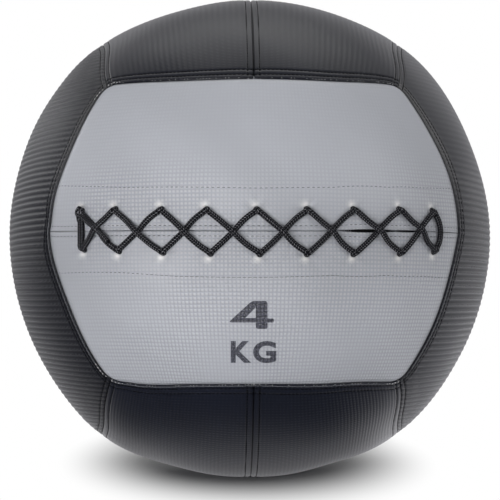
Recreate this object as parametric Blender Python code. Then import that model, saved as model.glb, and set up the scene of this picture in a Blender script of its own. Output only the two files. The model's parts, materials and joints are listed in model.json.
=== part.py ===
# Wall ball: twelve sewn cover panels over foam pads, a stuffed bag with a weight at its middle, a laced front.
# Metres, +Z up. The laced grey face looks along -Y and the origin lies on the floor under the ball.
import math

import bmesh
import bpy
from mathutils import Vector

# Outside shape
BALL_RADIUS = 0.176
SIDE_END_RISE = 0.0045
FACE_END_RISE = 0.002
CORNER_RISE = 0.0012
RISE_SPREAD = math.radians(14)
SETTLE_DEPTH = 0.003
SETTLE_SPREAD = math.radians(14)
FLOOR_CUT = 0.0005
SEAM_DROP = 0.0013

# Where the seams run: each of the six faces is split in two, and a split ends this far from its face's middle
FRONT_SPLIT_REACH = math.radians(49.5)
TOP_SPLIT_REACH = math.radians(56.5)
SIDE_SPLIT_REACH = math.radians(53)
CORNER_DEPTH_SHARE = 1.10
EDGE_BOW = 0.0058

# Cover panels
COVER_WALL = 0.0012
SEAM_GAP = 0.0004
FLANGE_THICKNESS = 0.0012
FLANGE_DEPTH = 0.009
HEM_DEPTH = 0.0013
SLIT_GAP = 0.0014
SLIT_VALLEY_DEPTH = 0.003
SLIT_VALLEY_REACH = 0.035
CELLS_ALONG = 12
CELLS_ACROSS = 6

# Layers under the covers, from outside in
LAYER_GAP = 0.0004
FACING_WALL = 0.0015
FACING_WIDTH = 0.0343
PLACKET_WALL = 0.0012
PLACKET_INSET = 0.011
LINER_WALL = 0.001
MOUTH_INSET = 0.022
STUFFING_GAP = 0.0004

# Lace and its holes
LACE_RADIUS = 0.00225
LACE_CLEARANCE = 0.0004
LACE_SIDES_RESOLUTION = 2
HOLE_PAIRS = 9
HOLE_PITCH = 0.0313
HOLE_RISE = 0.015
HOLE_RADIUS = 0.003
HOLE_STEPS = 4
HOLE_OVERRUN = 0.004
PASS_SPACING = 0.0053
BEND = 0.0019
STRAND_GAP = 0.0005
FACING_SAG = 0.0007
END_BOW = 0.008
KNOT_RADIUS = 0.0046

# Weight bag at the middle
BAG_RADIUS = 0.066
BAG_WALL = 0.0015
BAG_GAP = 0.0004
NECK_RADIUS = 0.009
NECK_RISE = 0.006
NECK_HEIGHT = 0.022
NECK_FLARE = 0.004
TIE_RADIUS = 0.00175
TIE_GAP = 0.0003
TURN_STEPS = 16
TIE_STEPS = 8

FACING_TOP = COVER_WALL + LAYER_GAP
FACING_BOTTOM = FACING_TOP + FACING_WALL
FORWARD_RUN_DEPTH = FACING_BOTTOM + FACING_SAG + LACE_RADIUS + STRAND_GAP
RETURN_RUN_DEPTH = FORWARD_RUN_DEPTH + 2 * LACE_RADIUS + STRAND_GAP
PLACKET_TOP = RETURN_RUN_DEPTH + LACE_RADIUS + LACE_CLEARANCE
PLACKET_BOTTOM = PLACKET_TOP + PLACKET_WALL
FOAM_TOP = COVER_WALL + LAYER_GAP
FOAM_BOTTOM = PLACKET_BOTTOM
LINER_TOP = PLACKET_BOTTOM + LAYER_GAP
STUFFING_TOP = LINER_TOP + LINER_WALL + STUFFING_GAP
TOUCH = 0.00002

# Base colour, roughness and metallic value of each material
MATERIALS = {
    "grey_vinyl": ((0.37, 0.39, 0.42), 0.5, 0.0),
    "black_vinyl": ((0.03, 0.031, 0.034), 0.45, 0.0),
    "black_lace": ((0.01, 0.01, 0.012), 0.8, 0.0),
    "black_canvas": ((0.016, 0.016, 0.018), 0.9, 0.0),
    "foam": ((0.62, 0.6, 0.52), 0.95, 0.0),
    "liner_cloth": ((0.5, 0.48, 0.44), 0.9, 0.0),
    "stuffing": ((0.56, 0.52, 0.47), 1.0, 0.0),
    "bag_cloth": ((0.22, 0.23, 0.2), 0.9, 0.0),
    "granules": ((0.18, 0.17, 0.16), 0.7, 0.4),
}

RIGHT = Vector((1, 0, 0))
BACK = Vector((0, 1, 0))
UP = Vector((0, 0, 1))


def clear_scene():
    for old in list(bpy.data.objects):
        bpy.data.objects.remove(old, do_unlink=True)


def make_material(name):
    colour, roughness, metallic = MATERIALS[name]
    material = bpy.data.materials.new(name)
    material.use_nodes = True
    shader = material.node_tree.nodes["Principled BSDF"]
    shader.inputs["Base Color"].default_value = (*colour, 1)
    shader.inputs["Roughness"].default_value = roughness
    shader.inputs["Metallic"].default_value = metallic
    return material


def add_object(name, bm, material, place):
    bmesh.ops.recalc_face_normals(bm, faces=bm.faces)
    mesh = bpy.data.meshes.new(name)
    bm.to_mesh(mesh)
    bm.free()
    mesh.shade_smooth()
    mesh.set_sharp_from_angle(angle=math.radians(40))
    mesh.materials.append(material)
    made = bpy.data.objects.new(name, mesh)
    made.location = place
    bpy.context.scene.collection.objects.link(made)
    return made


def cut(target, cutter):
    cutter.hide_render = True
    cutter.display_type = "WIRE"
    boolean = target.modifiers.new("cut", "BOOLEAN")
    boolean.operation = "DIFFERENCE"
    boolean.object = cutter
    boolean.solver = "EXACT"


# Great circle from one direction to another
def turn(start, end, share):
    angle = start.angle(end)
    return (start * math.sin((1 - share) * angle) + end * math.sin(share * angle)) / math.sin(angle)


def split_end(face, along, reach):
    return face * math.cos(reach) + along * math.sin(reach)


# A corner where three faces meet, drawn a little towards the grey front and rear
def face_corner(a, b, c):
    total = a + b + c
    return Vector((total.x, total.y * CORNER_DEPTH_SHARE, total.z)).normalized()


# Whether this is an end of the top or bottom split
def beside_long_split(end):
    return abs(end.x) < abs(end.y) and abs(end.x) < abs(end.z)


# The seam from a split's end to a corner. From the top and bottom splits it bows towards the grey face.
def seam_point(end, corner, share):
    point = turn(end, corner, share)
    if beside_long_split(end):
        bow = EDGE_BOW / BALL_RADIUS / math.hypot(end.x, end.z)
        point = point + BACK * math.copysign(bow * 4 * share * (1 - share), end.y)
    return point.normalized()


# Every place where seams meet, with how far the ball stands out there
def rises():
    found = []
    for a in (-1, 1):
        for b in (-1, 1):
            found.append((split_end(RIGHT * a, UP * b, SIDE_SPLIT_REACH), SIDE_END_RISE))
            found.append((split_end(UP * a, BACK * b, TOP_SPLIT_REACH), FACE_END_RISE))
            found.append((split_end(BACK * a, RIGHT * b, FRONT_SPLIT_REACH), FACE_END_RISE))
            for c in (-1, 1):
                found.append((face_corner(RIGHT * a, BACK * b, UP * c), CORNER_RISE))
    return found


RISES = rises()


def bump(angle, spread):
    return math.exp(-((angle / spread) ** 2))


# The shallow valley that the lacing pulls along the front slit
def front_valley(direction):
    if direction.y >= 0:
        return 0
    turned = math.atan2(direction.x, -direction.y) / FRONT_SPLIT_REACH
    across = abs(math.asin(direction.z)) * BALL_RADIUS / SLIT_VALLEY_REACH
    return SLIT_VALLEY_DEPTH * max(0, 1 - turned**2) * max(0, 1 - across)


def surface_radius(direction):
    radius = BALL_RADIUS - front_valley(direction)
    for place, rise in RISES:
        radius += rise * bump(direction.angle(place), RISE_SPREAD)
    return radius - SETTLE_DEPTH * bump(direction.angle(-UP), SETTLE_SPREAD)


# One of the twelve cover panels. u runs along its split edge and v from there to its far side.
class Panel:
    def __init__(self, name, face, along, side, reach, next_reach, laced):
        self.name = name
        self.laced = laced
        self.ends = [split_end(face, along * sign, reach) for sign in (-1, 1)]
        self.corners = [face_corner(face, side, along * sign) for sign in (-1, 1)]
        self.apex = split_end(side, face, next_reach)
        self.bowed = beside_long_split(self.apex)
        self.width = BALL_RADIUS * self.direction(0, 0.5).angle(self.direction(1, 0.5))
        self.height = BALL_RADIUS * self.direction(0.5, 0).angle(self.direction(0.5, 1))

    def low(self, u):
        return turn(self.ends[0], self.ends[1], u)

    def high(self, u):
        if u <= 0.5:
            return seam_point(self.apex, self.corners[0], 1 - 2 * u)
        return seam_point(self.apex, self.corners[1], 2 * u - 1)

    def direction(self, u, v):
        ruled = turn(self.low(u), self.high(u), v)
        for end, corner, share in zip(self.ends, self.corners, (1 - u, u)):
            ruled = ruled + (seam_point(end, corner, v) - turn(end, corner, v)) * share
        return ruled.normalized()

    # 1 on a sewn seam, falling to 0 one cell in
    def seam_share(self, u, v):
        near = [1 - u * CELLS_ALONG, 1 - (1 - u) * CELLS_ALONG, 1 - (1 - v) * CELLS_ACROSS]
        if not self.laced:
            near.append(1 - v * CELLS_ACROSS)
        return max(0, *near)

    def point(self, u, v, depth):
        direction = self.direction(u, v)
        return direction * (surface_radius(direction) - SEAM_DROP * self.seam_share(u, v) - depth)


def make_panels():
    found = {}
    faces = (
        ("front", -BACK, RIGHT, UP, ("upper", "lower"), FRONT_SPLIT_REACH, TOP_SPLIT_REACH),
        ("rear", BACK, RIGHT, UP, ("upper", "lower"), FRONT_SPLIT_REACH, TOP_SPLIT_REACH),
        ("top", UP, BACK, RIGHT, ("right", "left"), TOP_SPLIT_REACH, SIDE_SPLIT_REACH),
        ("bottom", -UP, BACK, RIGHT, ("right", "left"), TOP_SPLIT_REACH, SIDE_SPLIT_REACH),
        ("left", -RIGHT, UP, BACK, ("rear", "front"), SIDE_SPLIT_REACH, FRONT_SPLIT_REACH),
        ("right", RIGHT, UP, BACK, ("rear", "front"), SIDE_SPLIT_REACH, FRONT_SPLIT_REACH),
    )
    for face_name, face, along, side, halves, reach, next_reach in faces:
        for half, sign in zip(halves, (1, -1)):
            name = f"{face_name}_{half}"
            found[name] = Panel(name, face, along, side * sign, reach, next_reach, face_name == "front")
    return found


def inner_lines(cells, step):
    return [share / cells for share in range(step, cells, step)]


# A quad as two triangles, always split the same way so that layers lie in step
def add_quad(bm, a, b, c, d, slot=0):
    for corners in ((a, b, c), (a, c, d)):
        bm.faces.new(corners).material_index = slot


# A cover: a skin with its seam allowance turned in along every edge
def cover_bmesh(panel):
    half_gap = SEAM_GAP / 2
    gap_u = half_gap / panel.width
    rim_u = (half_gap + FLANGE_THICKNESS) / panel.width
    gap_v = half_gap / panel.height
    rim_v = (half_gap + FLANGE_THICKNESS) / panel.height
    start_gap = SLIT_GAP / 2 if panel.laced else half_gap
    start_v = start_gap / panel.height
    start_rim = (start_gap + FLANGE_THICKNESS) / panel.height
    us = [gap_u, rim_u, *inner_lines(CELLS_ALONG, 1), 1 - rim_u, 1 - gap_u]
    vs = [start_v, start_rim, *inner_lines(CELLS_ACROSS, 1), 1 - rim_v, 1 - gap_v]
    last_u = len(us) - 1
    last_v = len(vs) - 1
    bm = bmesh.new()

    def vertex(i, j, depth):
        return bm.verts.new(panel.point(us[i], vs[j], depth))

    def turned_in(i, j):
        on_slit = panel.laced and j < 2 and 0 < i < last_u
        return COVER_WALL + HEM_DEPTH if on_slit else COVER_WALL + FLANGE_DEPTH

    spots = [(i, j) for i in range(last_u + 1) for j in range(last_v + 1)]
    inside = [(i, j) for i, j in spots if 0 < i < last_u and 0 < j < last_v]
    near_edge = [(i, j) for i, j in spots if i < 2 or j < 2 or i > last_u - 2 or j > last_v - 2]
    outer = {spot: vertex(*spot, 0) for spot in spots}
    inner = {spot: vertex(*spot, COVER_WALL) for spot in inside}
    flange = {spot: vertex(*spot, turned_in(*spot)) for spot in near_edge}
    for i in range(last_u):
        for j in range(last_v):
            ring = ((i, j), (i + 1, j), (i + 1, j + 1), (i, j + 1))
            add_quad(bm, *(outer[spot] for spot in ring))
            in_rim = i == 0 or j == 0 or i == last_u - 1 or j == last_v - 1
            under = flange if in_rim else inner
            add_quad(bm, *(under[spot] for spot in ring))
    add_wall(bm, outer, flange, (0, last_u), (0, last_v))
    add_wall(bm, inner, flange, (1, last_u - 1), (1, last_v - 1))
    return bm


# Side faces between two layers of vertices, all the way round a block of cells
def add_wall(bm, above, below, span_u, span_v):
    first_u, last_u = span_u
    first_v, last_v = span_v
    ring = [(i, first_v) for i in range(first_u, last_u)]
    ring += [(last_u, j) for j in range(first_v, last_v)]
    ring += [(i, last_v) for i in range(last_u, first_u, -1)]
    ring += [(first_u, j) for j in range(last_v, first_v, -1)]
    for spot, following in zip(ring, ring[1:] + ring[:1]):
        add_quad(bm, above[spot], below[spot], below[following], above[following])


# A closed sheet between two depths. rows holds pairs of a panel and its v.
def sheet_bmesh(rows, us, top, bottom):
    bm = bmesh.new()
    layers = []
    for depth in (top, bottom):
        layers.append(
            {
                (i, j): bm.verts.new(panel.point(u, v, depth))
                for j, (panel, v) in enumerate(rows)
                for i, u in enumerate(us)
            }
        )
    for layer in layers:
        for i in range(len(us) - 1):
            for j in range(len(rows) - 1):
                ring = ((i, j), (i + 1, j), (i + 1, j + 1), (i, j + 1))
                add_quad(bm, *(layer[spot] for spot in ring))
    add_wall(bm, layers[0], layers[1], (0, len(us) - 1), (0, len(rows) - 1))
    return bm


def foam_bmesh(panel):
    edge = SEAM_GAP / 2 + FLANGE_THICKNESS + LAYER_GAP
    edge_u = edge / panel.width
    edge_v = edge / panel.height
    us = [edge_u, *inner_lines(CELLS_ALONG, 1 if panel.bowed else 2), 1 - edge_u]
    vs = [edge_v, *inner_lines(CELLS_ACROSS, 2), 1 - edge_v]
    if panel.laced:
        start_v = (FACING_WIDTH + LAYER_GAP) / panel.height
        vs = [start_v] + [v for v in vs if v > start_v + LAYER_GAP / panel.height]
    return sheet_bmesh([(panel, v) for v in vs], us, FOAM_TOP, FOAM_BOTTOM)


# Cell lines across a front panel as far as its facing's outer edge
def lines_to_facing_end(panel):
    gap_v = LAYER_GAP / panel.height
    end_v = FACING_WIDTH / panel.height - gap_v
    return [v for v in inner_lines(CELLS_ACROSS, 1) if v < end_v - gap_v] + [end_v]


# The strip sewn behind the holes, from the slit's hem outwards
def facing_bmesh(panel):
    inset_u = (SEAM_GAP / 2 + FLANGE_THICKNESS + LAYER_GAP) / panel.width
    start_v = (SLIT_GAP / 2 + FLANGE_THICKNESS + LAYER_GAP) / panel.height
    us = [inset_u, *inner_lines(CELLS_ALONG, 1), 1 - inset_u]
    rows = [(panel, v) for v in (start_v, *lines_to_facing_end(panel))]
    return sheet_bmesh(rows, us, FACING_TOP, FACING_BOTTOM)


# The black flap behind the slit, lying on the liner across both front panels
def placket_bmesh(upper, lower):
    inset_u = PLACKET_INSET / upper.width
    us = [inset_u, *inner_lines(CELLS_ALONG, 1), 1 - inset_u]
    rows = [(lower, v) for v in reversed(lines_to_facing_end(lower))]
    rows += [(upper, v) for v in (0, *lines_to_facing_end(upper))]
    return sheet_bmesh(rows, us, PLACKET_TOP, PLACKET_BOTTOM)


# One skin over the whole ball, sewn from all the panels' coarse cells. An open one has its filling mouth,
# set in from the edges of the two cells at the middle of the front slit.
def skin_bmesh(panels, depth, open_mouth):
    bm = bmesh.new()
    us = [0, *inner_lines(CELLS_ALONG, 2), 1]
    vs = [0, *inner_lines(CELLS_ACROSS, 2), 1]
    middle = (len(us) - 1) // 2
    for panel in panels.values():
        spots = {(i, j): bm.verts.new(panel.point(u, v, depth)) for i, u in enumerate(us) for j, v in enumerate(vs)}
        for i in range(len(us) - 1):
            for j in range(len(vs) - 1):
                at_mouth = open_mouth and panel.laced and i in (middle - 1, middle) and j == 0
                ring = ((i, j), (i + 1, j), (i + 1, j + 1), (i, j + 1))
                add_quad(bm, *(spots[spot] for spot in ring), int(at_mouth))
    bmesh.ops.remove_doubles(bm, verts=bm.verts, dist=TOUCH)
    bmesh.ops.recalc_face_normals(bm, faces=bm.faces)
    mouth = [face for face in bm.faces if face.material_index]
    if mouth:
        bmesh.ops.inset_region(bm, faces=mouth, thickness=MOUTH_INSET, use_even_offset=True)
        bmesh.ops.delete(bm, geom=mouth, context="FACES")
        for face in bm.faces:
            face.material_index = 0
    return bm


# A bag of one thickness with its filling mouth behind the placket
def liner_bmesh(panels):
    bm = skin_bmesh(panels, LINER_TOP, True)
    inner = skin_bmesh(panels, LINER_TOP + LINER_WALL, True)
    copied = bpy.data.meshes.new("liner_inner")
    inner.to_mesh(copied)
    inner.free()
    bm.from_mesh(copied)
    bpy.data.meshes.remove(copied)
    bmesh.ops.bridge_loops(bm, edges=[edge for edge in bm.edges if edge.is_boundary])
    return bm


# Half of the stuffing, cut flat where it meets the other half
def stuffing_bmesh(panels, sign):
    bm = skin_bmesh(panels, STUFFING_TOP, False)
    keep_off = BACK * (STUFFING_GAP / 2 * sign)
    geometry = [*bm.verts, *bm.edges, *bm.faces]
    bmesh.ops.bisect_plane(bm, geom=geometry, plane_co=keep_off, plane_no=-BACK * sign, clear_outer=True)
    bmesh.ops.holes_fill(bm, edges=[edge for edge in bm.edges if edge.is_boundary])
    return bm


def cut_floor(bm, depth):
    geometry = [*bm.verts, *bm.edges, *bm.faces]
    bmesh.ops.bisect_plane(bm, geom=geometry, plane_co=-UP * depth, plane_no=-UP, clear_outer=True)
    bmesh.ops.holes_fill(bm, edges=[edge for edge in bm.edges if edge.is_boundary])


# Turned solid from a list of radius and height, from the bottom up and round
def turned_bmesh(outline, closed):
    bm = bmesh.new()
    rings = []
    for radius, height in outline:
        if radius == 0:
            rings.append([bm.verts.new((0, 0, height))] * TURN_STEPS)
            continue
        ring = []
        for step in range(TURN_STEPS):
            angle = 2 * math.pi * (step + 0.5) / TURN_STEPS
            ring.append(bm.verts.new((radius * math.cos(angle), radius * math.sin(angle), height)))
        rings.append(ring)
    pairs = list(zip(rings, rings[1:]))
    if closed:
        pairs.append((rings[-1], rings[0]))
    for first, second in pairs:
        for step in range(TURN_STEPS):
            following = (step + 1) % TURN_STEPS
            corners = [first[step], first[following], second[following], second[step]]
            unique = [corner for index, corner in enumerate(corners) if corner not in corners[:index]]
            bm.faces.new(unique)
    return bm


# The bag's side from its lowest point to the top of its gathered neck, moved out by the given amount
def bag_outline(out):
    steps = TURN_STEPS // 2
    radius = BAG_RADIUS + out
    neck = NECK_RADIUS + out
    neck_angle = math.asin(neck / radius)
    points = []
    for step in range(steps + 1):
        angle = math.pi - (math.pi - neck_angle) * step / steps
        points.append((radius * math.sin(angle), radius * math.cos(angle)))
    points[0] = (0, -radius)
    points.append((neck, BAG_RADIUS + NECK_RISE))
    points.append((neck + NECK_FLARE, BAG_RADIUS + NECK_HEIGHT))
    return points


def bag_bmesh():
    return turned_bmesh(bag_outline(0) + bag_outline(-BAG_WALL)[::-1], False)


def fill_bmesh():
    points = bag_outline(-BAG_WALL - BAG_GAP)[: TURN_STEPS // 2 + 1]
    return turned_bmesh([*points, (0, points[-1][1])], False)


# The space for the bag in the stuffing, wide enough for its tie
def pocket_bmesh():
    points = bag_outline(BAG_GAP)[: TURN_STEPS // 2]
    wide = NECK_RADIUS + NECK_FLARE + BAG_GAP
    top = BAG_RADIUS + NECK_HEIGHT + BAG_GAP
    start = math.sqrt((BAG_RADIUS + BAG_GAP) ** 2 - wide**2)
    points = [point for point in points if point[1] < start]
    return turned_bmesh([*points, (wide, start), (wide, top), (0, top)], False)


def tie_bmesh():
    middle = NECK_RADIUS + TIE_GAP + TIE_RADIUS
    height = BAG_RADIUS + NECK_RISE
    points = []
    for step in range(TIE_STEPS):
        angle = 2 * math.pi * step / TIE_STEPS
        points.append((middle + TIE_RADIUS * math.cos(angle), height + TIE_RADIUS * math.sin(angle)))
    return turned_bmesh(points, True)


# A place on the front face: across and up from its middle, and out from the surface at the given height
def front_place(across, up, lift, level):
    turned = across / BALL_RADIUS

    def direction(height):
        raised = height / BALL_RADIUS
        flat = math.cos(raised)
        return Vector((math.sin(turned) * flat, -math.cos(turned) * flat, math.sin(raised)))

    return direction(up) * (surface_radius(direction(level)) + lift)


def hole_across(pair):
    return (pair - (HOLE_PAIRS - 1) / 2) * HOLE_PITCH


# Nine long holes in a row, as cutters that run through a cover and its facing
def hole_cutters_bmesh(sign):
    bm = bmesh.new()
    up = HOLE_RISE * sign
    for pair in range(HOLE_PAIRS):
        across = hole_across(pair)
        loops = []
        for lift in (HOLE_OVERRUN, -FACING_BOTTOM - HOLE_OVERRUN):
            middle = front_place(across, up, lift, up)
            outward = middle.normalized()
            sideways = UP.cross(outward).normalized()
            upward = outward.cross(sideways)
            loop = []
            for end in (1, -1):
                for step in range(HOLE_STEPS + 1):
                    angle = math.pi * (step / HOLE_STEPS - 0.5)
                    shift = end * (PASS_SPACING / 2 + HOLE_RADIUS * math.cos(angle))
                    rise = end * HOLE_RADIUS * math.sin(angle)
                    loop.append(bm.verts.new(middle + sideways * shift + upward * rise))
            loops.append(loop)
        for first, second, third, fourth in zip(
            loops[0], loops[0][1:] + loops[0][:1], loops[1][1:] + loops[1][:1], loops[1]
        ):
            bm.faces.new((first, second, third, fourth))
        bm.faces.new(loops[0])
        bm.faces.new(loops[1])
    return bm


# A run of lace over the outside from one hole to another. over lifts it across the other strand.
def outside_run(start, end, over, bow):
    low = LACE_RADIUS + LACE_CLEARANCE
    rise = 2 * LACE_RADIUS + STRAND_GAP if over else 0
    length = math.dist(start, end)
    bend_share = BEND / length
    shares = (
        (0, low - BEND, 0),
        (bend_share, low, 0),
        (0.25, low + rise / 2, 0.75),
        (0.43, low + rise, 1),
        (0.57, low + rise, 1),
        (0.75, low + rise / 2, 0.75),
        (1 - bend_share, low, 0),
        (1, low - BEND, 0),
    )
    points = []
    for share, lift, bow_share in shares:
        across = start[0] + (end[0] - start[0]) * share + bow * bow_share
        up = start[1] + (end[1] - start[1]) * share
        points.append(front_place(across, up, lift, HOLE_RISE))
    return points


# A run of lace behind the facings from a bottom hole to the top hole above it
def inside_run(start, end, depth):
    bend_share = BEND / math.dist(start, end)
    shares = ((0, depth - BEND), (bend_share, depth), (0.5, depth), (1 - bend_share, depth), (1, depth - BEND))
    points = []
    for share, below in shares:
        across = start[0] + (end[0] - start[0]) * share
        up = start[1] + (end[1] - start[1]) * share
        points.append(front_place(across, up, -below, up))
    return points


def hole_pass(pair, row, hand):
    return (hole_across(pair) + hand * PASS_SPACING / 2, row * HOLE_RISE)


# The lace: down the left end, forward as falling strands, round the right end and back as rising strands
def lace_points():
    last = HOLE_PAIRS - 1
    knot = hole_pass(0, 1, -1)
    start = (knot[0], knot[1] - KNOT_RADIUS - STRAND_GAP)
    low = LACE_RADIUS + LACE_CLEARANCE
    points = [front_place(*start, low, HOLE_RISE)]
    points += outside_run(knot, hole_pass(0, -1, -1), False, 0)[3:]
    for pair in range(HOLE_PAIRS):
        points += inside_run(hole_pass(pair, -1, -1), hole_pass(pair, 1, 1), FORWARD_RUN_DEPTH)
        if pair < last:
            points += outside_run(hole_pass(pair, 1, 1), hole_pass(pair + 1, -1, -1), pair > 0, 0)
    points += outside_run(hole_pass(last, 1, 1), hole_pass(last, -1, 1), False, END_BOW)
    for pair in reversed(range(HOLE_PAIRS)):
        points += inside_run(hole_pass(pair, -1, 1), hole_pass(pair, 1, -1), RETURN_RUN_DEPTH)
        if pair > 0:
            points += outside_run(hole_pass(pair, 1, -1), hole_pass(pair - 1, -1, 1), pair == 1, 0)
    points.append(front_place(*knot, low - BEND, HOLE_RISE))
    return points


def add_lace(points, material, place):
    curve = bpy.data.curves.new("lace", "CURVE")
    curve.dimensions = "3D"
    curve.bevel_depth = LACE_RADIUS
    curve.bevel_resolution = LACE_SIDES_RESOLUTION
    curve.use_fill_caps = True
    spline = curve.splines.new("POLY")
    spline.points.add(len(points) - 1)
    for spline_point, point in zip(spline.points, points):
        spline_point.co = (*point, 1)
    curve.materials.append(material)
    lace = bpy.data.objects.new("lace", curve)
    lace.location = place
    bpy.context.scene.collection.objects.link(lace)
    print("lace length", round(sum((b - a).length for a, b in zip(points, points[1:])), 3))
    print("least gap of the lace to itself", round(least_gap(points), 5))


# Least gap between stretches of the lace that aren't neighbours along it
def least_gap(points):
    fine = []
    for a, b in zip(points, points[1:]):
        steps = max(1, int((b - a).length / BEND))
        fine += [a + (b - a) * step / steps for step in range(steps)]
    reach = 6
    least = BALL_RADIUS
    for index, point in enumerate(fine):
        for other in fine[index + reach :]:
            least = min(least, (other - point).length)
    return least - 2 * LACE_RADIUS


def knot_bmesh():
    across, up = hole_pass(0, 1, -1)
    lift = LACE_RADIUS + LACE_CLEARANCE - BEND + STRAND_GAP + KNOT_RADIUS
    middle = front_place(across, up, lift, HOLE_RISE)
    bm = bmesh.new()
    bmesh.ops.create_uvsphere(bm, u_segments=12, v_segments=8, radius=KNOT_RADIUS)
    bmesh.ops.translate(bm, verts=bm.verts, vec=middle)
    return bm


# Where the ball's middle lies: over the origin once its underside is cut flat, with the lace and the rear
# cover reaching as far to either side of it
def ball_place(covers, lace):
    undersides = [bm for name, bm in covers.items() if name.startswith("bottom")]
    rears = [bm for name, bm in covers.items() if name.startswith("rear")]
    lowest = min(vertex.co.z for bm in undersides for vertex in bm.verts)
    rearmost = max(vertex.co.y for bm in rears for vertex in bm.verts)
    foremost = min(point.y for point in lace) - LACE_RADIUS
    return Vector((0, -(rearmost + foremost) / 2, -lowest - FLOOR_CUT))


def build():
    clear_scene()
    materials = {name: make_material(name) for name in MATERIALS}
    panels = make_panels()
    covers = {name: cover_bmesh(panel) for name, panel in panels.items()}
    lace = lace_points()
    place = ball_place(covers, lace)

    laced_covers = {}
    for name, bm in covers.items():
        if name.startswith("bottom"):
            cut_floor(bm, place.z)
        grey = name.startswith(("front", "rear"))
        made = add_object(f"cover_{name}", bm, materials["grey_vinyl" if grey else "black_vinyl"], place)
        if panels[name].laced:
            laced_covers[name] = made
        add_object(f"foam_{name}", foam_bmesh(panels[name]), materials["foam"], place)

    for half, sign in (("upper", 1), ("lower", -1)):
        cutter = add_object(f"holes_{half}", hole_cutters_bmesh(sign), materials["black_lace"], place)
        panel = panels[f"front_{half}"]
        facing = add_object(f"lace_facing_{half}", facing_bmesh(panel), materials["black_canvas"], place)
        cut(laced_covers[panel.name], cutter)
        cut(facing, cutter)

    placket = placket_bmesh(panels["front_upper"], panels["front_lower"])
    add_object("placket", placket, materials["black_canvas"], place)
    add_lace(lace, materials["black_lace"], place)
    add_object("lace_knot", knot_bmesh(), materials["black_lace"], place)
    add_object("liner", liner_bmesh(panels), materials["liner_cloth"], place)

    pocket = add_object("bag_pocket", pocket_bmesh(), materials["stuffing"], place)
    for name, sign in (("stuffing_front", -1), ("stuffing_rear", 1)):
        cut(add_object(name, stuffing_bmesh(panels, sign), materials["stuffing"], place), pocket)
    add_object("weight_bag", bag_bmesh(), materials["bag_cloth"], place)
    add_object("weight_fill", fill_bmesh(), materials["granules"], place)
    add_object("weight_bag_tie", tie_bmesh(), materials["black_lace"], place)


build()
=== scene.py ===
# Wall ball on a white floor: sewn covers, stitching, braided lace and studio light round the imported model
import json
import math
from math import pi, radians

import bmesh
import bpy
import numpy as np
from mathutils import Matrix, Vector


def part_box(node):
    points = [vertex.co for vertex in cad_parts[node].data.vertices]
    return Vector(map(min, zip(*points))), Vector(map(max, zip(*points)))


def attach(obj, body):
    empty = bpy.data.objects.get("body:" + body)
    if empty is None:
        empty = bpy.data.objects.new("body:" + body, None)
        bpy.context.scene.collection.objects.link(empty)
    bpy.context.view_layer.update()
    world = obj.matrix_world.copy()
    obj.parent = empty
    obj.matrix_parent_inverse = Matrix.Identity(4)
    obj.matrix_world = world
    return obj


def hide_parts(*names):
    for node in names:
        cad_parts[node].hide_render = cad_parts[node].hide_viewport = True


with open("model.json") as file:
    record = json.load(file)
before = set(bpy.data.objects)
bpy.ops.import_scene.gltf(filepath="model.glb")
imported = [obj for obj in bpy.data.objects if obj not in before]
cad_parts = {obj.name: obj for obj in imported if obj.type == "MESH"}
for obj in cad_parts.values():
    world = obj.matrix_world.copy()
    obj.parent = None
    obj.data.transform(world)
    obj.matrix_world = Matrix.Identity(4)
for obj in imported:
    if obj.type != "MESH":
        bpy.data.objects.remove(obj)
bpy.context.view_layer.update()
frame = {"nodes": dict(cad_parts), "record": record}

mm = 0.001
scene = bpy.context.scene

# The ball's own shape, the same sizes as its solids
ballShape = {
    "radius": 0.176,
    "sideEndRise": 0.0045,
    "faceEndRise": 0.002,
    "cornerRise": 0.0012,
    "riseSpread": radians(14),
    "settleDepth": 0.003,
    "settleSpread": radians(14),
    "frontReach": radians(49.5),
    "topReach": radians(56.5),
    "sideReach": radians(53),
    "cornerDepth": 1.10,
    "edgeBow": 0.0058,
    "cornerRounding": 0.0085,
    "bagRadius": 0.066,
}
ballRadius = ballShape["radius"]
bagLow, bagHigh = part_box("weight_bag")
bagMiddle = [(low + high) / 2 for low, high in zip(bagLow, bagHigh)]
ballMiddle = np.array([*bagMiddle[:2], bagLow.z + ballShape["bagRadius"]])
right, back, up = np.eye(3)
signs = (-1, 1)
octants = [(x, y, z) for x in signs for y in signs for z in signs]
# How many samples a panel's layout, a span across it and a row of stitches have
samples = {"panel": 25, "span": 60, "row": 220}


def unit(v):
    return v / np.linalg.norm(v, axis=-1, keepdims=True)


def smooth(x):
    x = np.clip(x, 0, 1)
    return x * x * (3 - 2 * x)


def hump(x, spread):
    return np.exp(-((x / spread) ** 2))


def angleTo(d, place):
    return np.arccos(np.clip(d @ place, -1, 1))


def turn(a, b, share):
    a, b = np.broadcast_arrays(a, b)
    share = np.asarray(share, float)[..., None]
    angle = np.arccos(np.clip((a * b).sum(-1, keepdims=True), -1, 1))
    return (a * np.sin((1 - share) * angle) + b * np.sin(share * angle)) / np.sin(angle)


def splitEnd(face, along, reach):
    return face * math.cos(reach) + along * math.sin(reach)


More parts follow.
